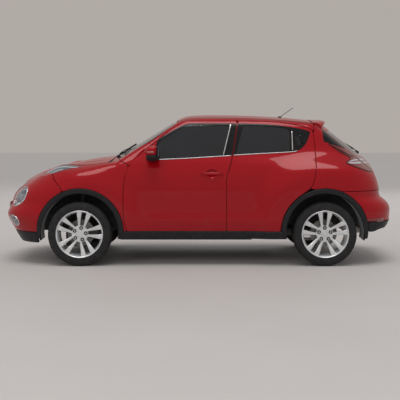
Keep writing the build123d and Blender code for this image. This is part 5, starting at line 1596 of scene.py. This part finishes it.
def tyre_shape(hub):
    """Tyre: outer profile with sidewall ribs and four grooves, inner profile 9 mm in, turned; shoulder blocks
    are cut by lowering every sixth column of the tread."""
    side = [(0.099, 0.2338), (0.1033, 0.2338), (0.1036, 0.244), (0.1085, 0.2462), (0.1118, 0.252),
            (0.1113, 0.2535), (0.1118, 0.256), (0.1123, 0.268), (0.1124, 0.276), (0.1116, 0.2768),
            (0.1116, 0.279), (0.1121, 0.2798), (0.1108, 0.292), (0.1083, 0.303), (0.105, 0.3105),
            (0.1055, 0.3115), (0.101, 0.318), (0.095, 0.323), (0.088, 0.3262)]
    across = np.array([0.08, 0.0735, 0.0685, 0.068, 0.06, 0.0595, 0.05, 0.038, 0.0375, 0.029, 0.0285, 0.016,
                       0.006])
    low = np.array([0, 0, 0, 1, 1, 0, 0, 0, 1, 1, 0, 0, 0], dtype=bool)
    crown = TYRE_R - 0.0002 - 0.3 * across**2 - chosen_size("tread_depth") * low
    half = side + list(zip(across, crown))
    profile = half + [(-a, r) for a, r in reversed(half)]
    inner = [(0.0985, 0.2338), (0.0985, 0.25), (0.102, 0.27), (0.101, 0.295), (0.095, 0.31), (0.08, 0.3165),
             (0.04, 0.3185)]
    inner = inner[::-1]
    profile = profile + [(-a, r) for a, r in reversed(inner)] + [(a, r) for a, r in inner]
    count = 360
    v, f = turned_shape(profile, hub, count)
    v = v.reshape(len(profile), count, 3)
    rows = np.arange(len(profile))
    p = np.array(profile)
    shoulder = (p[:, 1] > 0.3125) & (np.abs(p[:, 0]) > 0.066) & (rows < 2 * len(half))
    centre_rib = (np.abs(np.abs(p[:, 0]) - 0.0495) < 0.008) & (p[:, 1] > 0.32) & (rows < 2 * len(half))
    column = np.arange(count)
    skew = np.rint(np.abs(p[:, 0]) * 60).astype(int)
    groove = ((column[None] + skew[:, None]) % 6 == 0) & shoulder[:, None]
    sipe = ((column[None] + 3) % 9 == 0) & centre_rib[:, None]
    drop = 0.0065 * groove + 0.004 * sipe
    spoke = v - hub
    reach = np.hypot(spoke[..., 0], spoke[..., 2])
    scale = (reach - drop) / reach
    v[..., 0] = hub[0] + spoke[..., 0] * scale
    v[..., 2] = hub[2] + spoke[..., 2] * scale
    return facing_out(v.reshape(-1, 3), f)


def build_wheel(which, side, hand):
    hub = FRONT_HUB if which == "front" else REAR_HUB
    hub = np.array([hub[0], -abs(hub[1]), hub[2]])
    first = 78.0 if which == "front" else 90.0

    def add(name, parts, finish):
        placed = parts if hand < 0 else [flipped(part) for part in parts]
        return add_piece(f"{which}_{name}_{side}", placed, finish, f"{which}_wheel_{side}")

    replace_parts(sharpen(add("alloy", wheel_parts(hub, first), "alloy"), 40), f"{which}_rim_{side}")
    nuts, sockets = nut_parts(hub, first)
    sharpen(add("wheel_nuts", nuts, "bright_trim"), 40)
    add("nut_sockets", sockets, "gloss_black")
    cap = [(0.05, 0.0005), (0.05, 0.03), (0.064, 0.03), (0.0665, 0.0285), (0.068, 0.024), (0.0668, 0.0225),
           (0.069, 0.01), (0.0695, 0.0005)]
    add("wheel_cap", [turned(cap, hub, 72)], "alloy")
    disc = [(-0.049, 0.034), (-0.049, 0.138), (-0.0478, 0.1395), (-0.0425, 0.1395), (-0.042, 0.128),
            (-0.037, 0.128), (-0.0365, 0.1395), (-0.0312, 0.1395), (-0.03, 0.138), (-0.03, 0.082),
            (-0.008, 0.077), (-0.006, 0.072), (-0.006, 0.034)]
    add("brake_disc", [turned(disc, hub, 120)], "disc_steel")
    angle = math.radians(first + 36)
    at = hub + 0.217 * np.array([math.cos(angle), 0, math.sin(angle)])
    valve = [(0.045, 0.0004), (0.045, 0.0052), (0.072, 0.0045), (0.0725, 0.0032), (0.086, 0.0032),
             (0.087, 0.0004)]
    add("valve", [turned(valve, at, 18)], "seal_rubber")
    tyre = add("tread", [tyre_shape(hub)], "tyre_rubber")
    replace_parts(sharpen(tyre, 32), f"{which}_tyre_{side}")


# ---------------------------------------------------------------- cabin
def sewn(across, along, lines):
    """Depth of sewn channels: a narrow bell curve at each seam, and one along each bolster."""
    depth = sum(np.exp(-(((along - at) / 0.035) ** 2)) for at in lines) * ease((0.7 - np.abs(across)) / 0.08)
    return depth + np.exp(-(((np.abs(across) - 0.66) / 0.03) ** 2))


def leaning(amount):
    """Bends a rounded box: its top goes back, its side edges stand forward, and channels are pressed in."""
    def bend(ball):
        x, y, z = ball.T
        bolster = np.abs(y) ** 3
        x = x + 0.09 * (x < 0) * np.abs(x) ** 0.5 * sewn(y, z, (-0.55, -0.2, 0.15, 0.5))
        x = x * (1 + 0.25 * bolster) - 0.3 * bolster * (x < 0) + amount * z
        return columns(x, y * (1 - 0.1 * np.maximum(z, 0) ** 2), z)
    return bend


def dished(ball):
    """Sinks a cushion's middle, raises its side bolsters, and presses in its channels."""
    x, y, z = ball.T
    bolster = np.abs(y) ** 4
    z = z - 0.08 * (z > 0) * np.abs(z) ** 0.5 * sewn(y, x, (-0.6, -0.2, 0.2, 0.6))
    return columns(x, y, z + np.where(z > 0, 0.28 * bolster - 0.12 * (1 - bolster) * (1 - x**2), 0))


def soft_piece(name, boxes):
    """Padded piece of seat cloth, from boxes bent as cushions or backs."""
    obj = add_piece(name, boxes, "seat_cloth")
    return obj


def build_seats():
    """Seats of bent superellipsoids with sewn channels."""
    for side, hand in SIDES:
        y = 0.36 * hand
        base = rounded_box((-0.17, y - 0.2, 0.277), (0.27, y + 0.2, 0.43), 7, 22)
        back_panel = rounded_box((0.285, y - 0.2, 0.5), (0.345, y + 0.2, 1.06), 5, 22, leaning(2.2))
        posts = [tube(np.linspace((0.405, at, 1.08), (0.452, at, 1.18), 10), 0.014, 0.014, (1, 0, 0), 12, 2)
                 for at in (y - 0.06, y + 0.06)]
        add_piece(f"front_seat_base_{side}", [base, back_panel], "soft_plastic")
        add_piece(f"front_headrest_posts_{side}", posts, "bright_trim")
        cushion = rounded_box((-0.2, y - 0.24, 0.4), (0.31, y + 0.24, 0.545), 3.4, 56, dished)
        back = rounded_box((0.215, y - 0.24, 0.46), (0.365, y + 0.24, 1.125), 3.2, 56, leaning(1.15))
        seat = soft_piece(f"front_seat_cushion_{side}", [cushion])
        soft_piece(f"front_seat_back_{side}", [back])
        rest = rounded_box((0.425, y - 0.12, 1.125), (0.508, y + 0.12, 1.288), 2.8, 26)
        add_piece(f"front_headrest_{side}", [rest], "seat_bolster")
        if hand < 0:
            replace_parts(seat, "front_seats")
    places = (-0.285, 0.285)
    bench = soft_piece("rear_seat_cushion", [
        rounded_box((0.61, y - 0.28, 0.432), (1.1, y + 0.28, 0.592), 4, 52, dished) for y in places])
    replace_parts(bench, "rear_bench")
    soft_piece("rear_seat_backs", [
        rounded_box((1.055, y - 0.28, 0.52), (1.18, y + 0.28, 1.085), 4, 52, leaning(1.05)) for y in places])


def build_cabin_fittings():
    hood = rounded_box((-0.6, -0.5, 1.00), (-0.455, -0.22, 1.072), 3.5, 24)
    screen = rounded_box((-0.475, -0.13, 0.985), (-0.45, 0.13, 1.115), 8, 20)
    add_piece("gauge_hood_and_screen", [hood, screen], "gloss_black")
    vents = [rounded_box((-0.47, y - 0.05, z - 0.004), (-0.448, y + 0.05, z + 0.004), 4, 10)
             for y in (-0.56, -0.2, 0.2, 0.56) for z in (0.915, 0.935, 0.955)]
    add_piece("air_vents", vents, "bright_trim")
    stem = curve((-250, 560), (-245, 640), (-262, 700), step=0.01)[:, [0, 0, 1]] * (1, 0, 1)
    knob = rounded_box((-0.29, -0.025, 0.68), (-0.235, 0.025, 0.745), 2.6, 16)
    add_piece("gear_lever", [tube(stem, 0.018, 0.018, (0, 1, 0), 14, 2), knob], "seat_bolster")
    glass = rounded_box((-0.36, -0.11, 1.335), (-0.335, 0.11, 1.395), 4, 20)
    add_piece("cabin_mirror", [glass], "gloss_black")
    carpet = rounded_box((-0.75, -0.62, 0.274), (0.53, 0.62, 0.286), 16, 22)
    boot = rounded_box((1.3, -0.56, 0.431), (1.86, 0.56, 0.446), 16, 22)
    add_piece("cabin_carpets", [carpet, boot], "felt")
    outline = halves(PLAN, 1, top_line((1150, 0), (1150, -480), (-180, -500), (-180, 0), smooth=False),
                     passes=3)
    panel("headlining", plan_chart, [outline], "seat_bolster", depth=0.022, thick=0.006, rounding=0.001,
          spacing=0.05, slot="soft_trim")


# ---------------------------------------------------------------- stage
FLOOR_HALF = 45.0
LIGHT_TARGET = (0, 0, 0.8)
SENSOR = 36.0
LENS_PER_SENSOR = 923 / 400


def build_stage():
    scene = bpy.context.scene
    count = 41
    u = np.linspace(-FLOOR_HALF, FLOOR_HALF, count)
    points = columns(u[:, None], u[None], 0).reshape(-1, 3)
    quads = grid_faces(count, count)
    mesh = bpy.data.meshes.new("studio_floor")
    mesh.from_pydata(points.tolist(), [], quads[:, ::-1].tolist())
    mesh.materials.append(material("studio_floor"))
    if mesh.polygons[0].normal.z < 0:
        mesh.flip_normals()
    floor = bpy.data.objects.new("studio_floor", mesh)
    scene.collection.objects.link(floor)
    world = bpy.data.worlds.new("studio_world")
    world.use_nodes = True
    tree = world.node_tree
    back = tree.nodes["Background"]
    back.inputs["Color"].default_value = (0.8, 0.84, 0.9, 1)
    back.inputs["Strength"].default_value = 0.34
    bright = tree.nodes.new("ShaderNodeBackground")
    bright.inputs["Color"].default_value = (0.93, 0.86, 0.8, 1)
    bright.inputs["Strength"].default_value = 0.47
    rays = tree.nodes.new("ShaderNodeLightPath")
    share = tree.nodes.new("ShaderNodeMixShader")
    seen = rays.outputs["Is Camera Ray"]
    for other in ("Is Glossy Ray", "Is Transmission Ray"):
        larger = tree.nodes.new("ShaderNodeMath")
        larger.operation = "MAXIMUM"
        tree.links.new(seen, larger.inputs[0])
        tree.links.new(rays.outputs[other], larger.inputs[1])
        seen = larger.outputs[0]
    tree.links.new(seen, share.inputs[0])
    tree.links.new(back.outputs[0], share.inputs[1])
    tree.links.new(bright.outputs[0], share.inputs[2])
    tree.links.new(share.outputs[0], tree.nodes["World Output"].inputs["Surface"])
    scene.world = world
    sizes = scene.crossover_stage
    sky = bpy.data.lights.new("overhead_light", "SUN")
    sky.energy = sizes.overhead_strength
    sky.angle = math.radians(38)
    above = bpy.data.objects.new("overhead_light", sky)
    above.rotation_euler = (math.radians(14), 0, math.radians(-8))
    scene.collection.objects.link(above)
    for name, place, width, height, power in (
            ("near_side_light", (-2.5, -10.0, 5.0), 12.0, 4.5, sizes.side_power),
            ("far_side_light", (2.5, 9.5, 6.0), 12.0, 4.5, sizes.side_power * 0.8),
            ("tail_light_panel", (9.5, -1.5, 4.5), 7.0, 4.0, sizes.side_power * 0.4),
            ("nose_light_panel", (-9.5, 1.5, 4.5), 7.0, 4.0, sizes.side_power * 0.4)):
        lamp = bpy.data.lights.new(name, "AREA")
        lamp.shape = "RECTANGLE"
        lamp.size, lamp.size_y = width, height
        lamp.energy = power
        obj = bpy.data.objects.new(name, lamp)
        obj.location = place
        aim = np.array(LIGHT_TARGET) - place
        obj.rotation_euler = (math.acos(-aim[2] / np.linalg.norm(aim)), 0,
                              math.atan2(aim[1], aim[0]) - math.pi / 2)
        obj.visible_glossy = False
        scene.collection.objects.link(obj)
    camera = bpy.data.cameras.new("camera")
    camera.sensor_width = SENSOR
    camera.lens = LENS_PER_SENSOR * SENSOR
    camera.shift_y = -0.17675
    holder = bpy.data.objects.new("camera", camera)
    holder.location = (0.0183, -10.36, 1.41)
    holder.rotation_euler = (math.pi / 2, 0, 0)
    scene.collection.objects.link(holder)
    scene.camera = holder
    scene.view_settings.view_transform = "Standard"


# ---------------------------------------------------------------- settings, operators and the sidebar panel
class CrossoverColours(bpy.types.PropertyGroup):
    paint: bpy.props.FloatVectorProperty(name="Paint", description="Colour of the body panels",
                                         subtype="COLOR", size=3, min=0, max=1, default=(0.37, 0.0018, 0.008))
    cladding: bpy.props.FloatVectorProperty(name="Cladding",
                                            description="Colour of arch, sill and bumper trims",
                                            subtype="COLOR", size=3, min=0, max=1,
                                            default=(0.012, 0.0125, 0.015))
    wheels: bpy.props.FloatVectorProperty(name="Wheels", description="Colour of the alloy wheels",
                                          subtype="COLOR", size=3, min=0, max=1, default=(0.8, 0.81, 0.82))


class CrossoverSizes(bpy.types.PropertyGroup):
    tread_depth: bpy.props.FloatProperty(name="Tread depth", description="Depth of the tyres' long grooves",
                                         unit="LENGTH", subtype="DISTANCE", min=0.002, max=0.009,
                                         default=0.0075)
    arm_width: bpy.props.FloatProperty(name="Wheel arm width", description="Width of a wheel arm at the hub",
                                       unit="LENGTH", subtype="DISTANCE", min=0.012, max=0.028, default=0.023)
    belt_height: bpy.props.FloatProperty(name="Belt strip height",
                                         description="Height of the strips under the side windows",
                                         unit="LENGTH", subtype="DISTANCE", min=0.004, max=0.014,
                                         default=0.008)
    panel_rounding: bpy.props.FloatProperty(name="Panel rounding",
                                            description="Radius of the panels' edges at the shut lines",
                                            unit="LENGTH", subtype="DISTANCE", min=0.001, max=0.006,
                                            default=0.004)


class CrossoverStage(bpy.types.PropertyGroup):
    overhead_strength: bpy.props.FloatProperty(name="Overhead light",
                                               description="Strength of the broad light over the roof", min=0,
                                               default=1.35)
    side_power: bpy.props.FloatProperty(name="Side lights", description="Power of each light beside the car",
                                        subtype="POWER", min=0, default=300)


class CROSSOVER_OT_doors(bpy.types.Operator):
    """Builds the four doors with their cards, window surrounds and panes"""
    bl_idname = "crossover.doors"
    bl_label = "Doors"

    def execute(self, context):
        for side, hand in SIDES:
            for which in ("front", "rear"):
                build_door(which, side, hand)
        return {"FINISHED"}


class CROSSOVER_OT_door_fittings(bpy.types.Operator):
    """Adds belt strips, mirrors and pulls to the doors"""
    bl_idname = "crossover.door_fittings"
    bl_label = "Door fittings"

    def execute(self, context):
        for side, hand in SIDES:
            build_belt_strips(side)
            build_mirror(side)
            build_pulls(side, hand)
        return {"FINISHED"}


class CROSSOVER_OT_side_shell(bpy.types.Operator):
    """Builds roof rails, screen pillars, door jambs and sills"""
    bl_idname = "crossover.side_shell"
    bl_label = "Side shell"

    def execute(self, context):
        build_side_shell()
        return {"FINISHED"}


class CROSSOVER_OT_roof(bpy.types.Operator):
    """Builds the roof skin and its ditch strips"""
    bl_idname = "crossover.roof"
    bl_label = "Roof"

    def execute(self, context):
        build_roof()
        return {"FINISHED"}


class CROSSOVER_OT_screen(bpy.types.Operator):
    """Builds windscreen, cowl and wipers"""
    bl_idname = "crossover.screen"
    bl_label = "Windscreen"

    def execute(self, context):
        build_screen()
        return {"FINISHED"}


class CROSSOVER_OT_bonnet(bpy.types.Operator):
    """Builds the bonnet skin"""
    bl_idname = "crossover.bonnet"
    bl_label = "Bonnet"

    def execute(self, context):
        build_bonnet()
        return {"FINISHED"}


class CROSSOVER_OT_fenders(bpy.types.Operator):
    """Builds front fenders and the lamps on their crowns"""
    bl_idname = "crossover.fenders"
    bl_label = "Front fenders"

    def execute(self, context):
        build_fenders()
        return {"FINISHED"}


class CROSSOVER_OT_front_end(bpy.types.Operator):
    """Builds front bumper, grilles, apron and round lamps"""
    bl_idname = "crossover.front_end"
    bl_label = "Front end"

    def execute(self, context):
        build_front_bumper()
        build_grilles()
        build_round_lamps()
        return {"FINISHED"}


class CROSSOVER_OT_rear_end(bpy.types.Operator):
    """Builds rear quarters, tail lamps and rear bumper"""
    bl_idname = "crossover.rear_end"
    bl_label = "Rear end"

    def execute(self, context):
        build_rear_quarters()
        build_tail_lamps()
        build_rear_corner_glass()
        build_rear_bumper()
        return {"FINISHED"}


class CROSSOVER_OT_tailgate(bpy.types.Operator):
    """Builds the tailgate with its window, spoiler and fittings"""
    bl_idname = "crossover.tailgate"
    bl_label = "Tailgate"

    def execute(self, context):
        build_tailgate_skin()
        build_tailgate_lamps()
        build_tailgate_window()
        build_spoiler()
        build_tailgate_fittings()
        return {"FINISHED"}


class CROSSOVER_OT_cladding(bpy.types.Operator):
    """Builds the dark arch and sill trims"""
    bl_idname = "crossover.cladding"
    bl_label = "Arch and sill trims"

    def execute(self, context):
        build_cladding()
        build_flaps()
        return {"FINISHED"}


class CROSSOVER_OT_wheels(bpy.types.Operator):
    """Builds four wheels with tyres, nuts, caps and brake discs"""
    bl_idname = "crossover.wheels"
    bl_label = "Wheels"

    def execute(self, context):
        for side, hand in SIDES:
            for which in ("front", "rear"):
                build_wheel(which, side, hand)
        return {"FINISHED"}


class CROSSOVER_OT_cabin(bpy.types.Operator):
    """Builds seats, dashboard fittings, carpets and headlining"""
    bl_idname = "crossover.cabin"
    bl_label = "Cabin"

    def execute(self, context):
        build_seats()
        build_cabin_fittings()
        return {"FINISHED"}


class CROSSOVER_OT_mechanicals(bpy.types.Operator):
    """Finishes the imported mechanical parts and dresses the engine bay"""
    bl_idname = "crossover.mechanicals"
    bl_label = "Mechanical parts"

    def execute(self, context):
        finish_packed_nodes()
        build_exhaust()
        build_engine_bay()
        return {"FINISHED"}


class CROSSOVER_OT_stage(bpy.types.Operator):
    """Adds the pale floor, soft lights and camera"""
    bl_idname = "crossover.stage"
    bl_label = "Stage"

    def execute(self, context):
        build_stage()
        return {"FINISHED"}


STEPS = (CROSSOVER_OT_doors, CROSSOVER_OT_door_fittings, CROSSOVER_OT_side_shell, CROSSOVER_OT_roof,
         CROSSOVER_OT_screen, CROSSOVER_OT_bonnet, CROSSOVER_OT_fenders, CROSSOVER_OT_front_end,
         CROSSOVER_OT_rear_end, CROSSOVER_OT_tailgate, CROSSOVER_OT_cladding, CROSSOVER_OT_wheels,
         CROSSOVER_OT_cabin, CROSSOVER_OT_mechanicals, CROSSOVER_OT_stage)


class CROSSOVER_PT_pieces(bpy.types.Panel):
    """Lists the car's colours, lights and pieces"""
    bl_idname = "CROSSOVER_PT_pieces"
    bl_label = "Crossover car"
    bl_space_type = "VIEW_3D"
    bl_region_type = "UI"
    bl_category = "Crossover"

    def draw(self, context):
        for group in (context.scene.crossover_colours, context.scene.crossover_sizes,
                      context.scene.crossover_stage):
            for key in group.__annotations__:
                self.layout.prop(group, key)
        for step in STEPS:
            self.layout.operator(step.bl_idname)


CLASSES = (CrossoverColours, CrossoverSizes, CrossoverStage, *STEPS, CROSSOVER_PT_pieces)


def register():
    for made in CLASSES:
        bpy.utils.register_class(made)
    bpy.types.Scene.crossover_colours = bpy.props.PointerProperty(type=CrossoverColours)
    bpy.types.Scene.crossover_sizes = bpy.props.PointerProperty(type=CrossoverSizes)
    bpy.types.Scene.crossover_stage = bpy.props.PointerProperty(type=CrossoverStage)


def unregister():
    del bpy.types.Scene.crossover_stage
    del bpy.types.Scene.crossover_sizes
    del bpy.types.Scene.crossover_colours
    for made in reversed(CLASSES):
        bpy.utils.unregister_class(made)


def main():
    register()
    for step in STEPS:
        group, name = step.bl_idname.split(".")
        getattr(getattr(bpy.ops, group), name)()


if __name__ == "__main__":
    main()
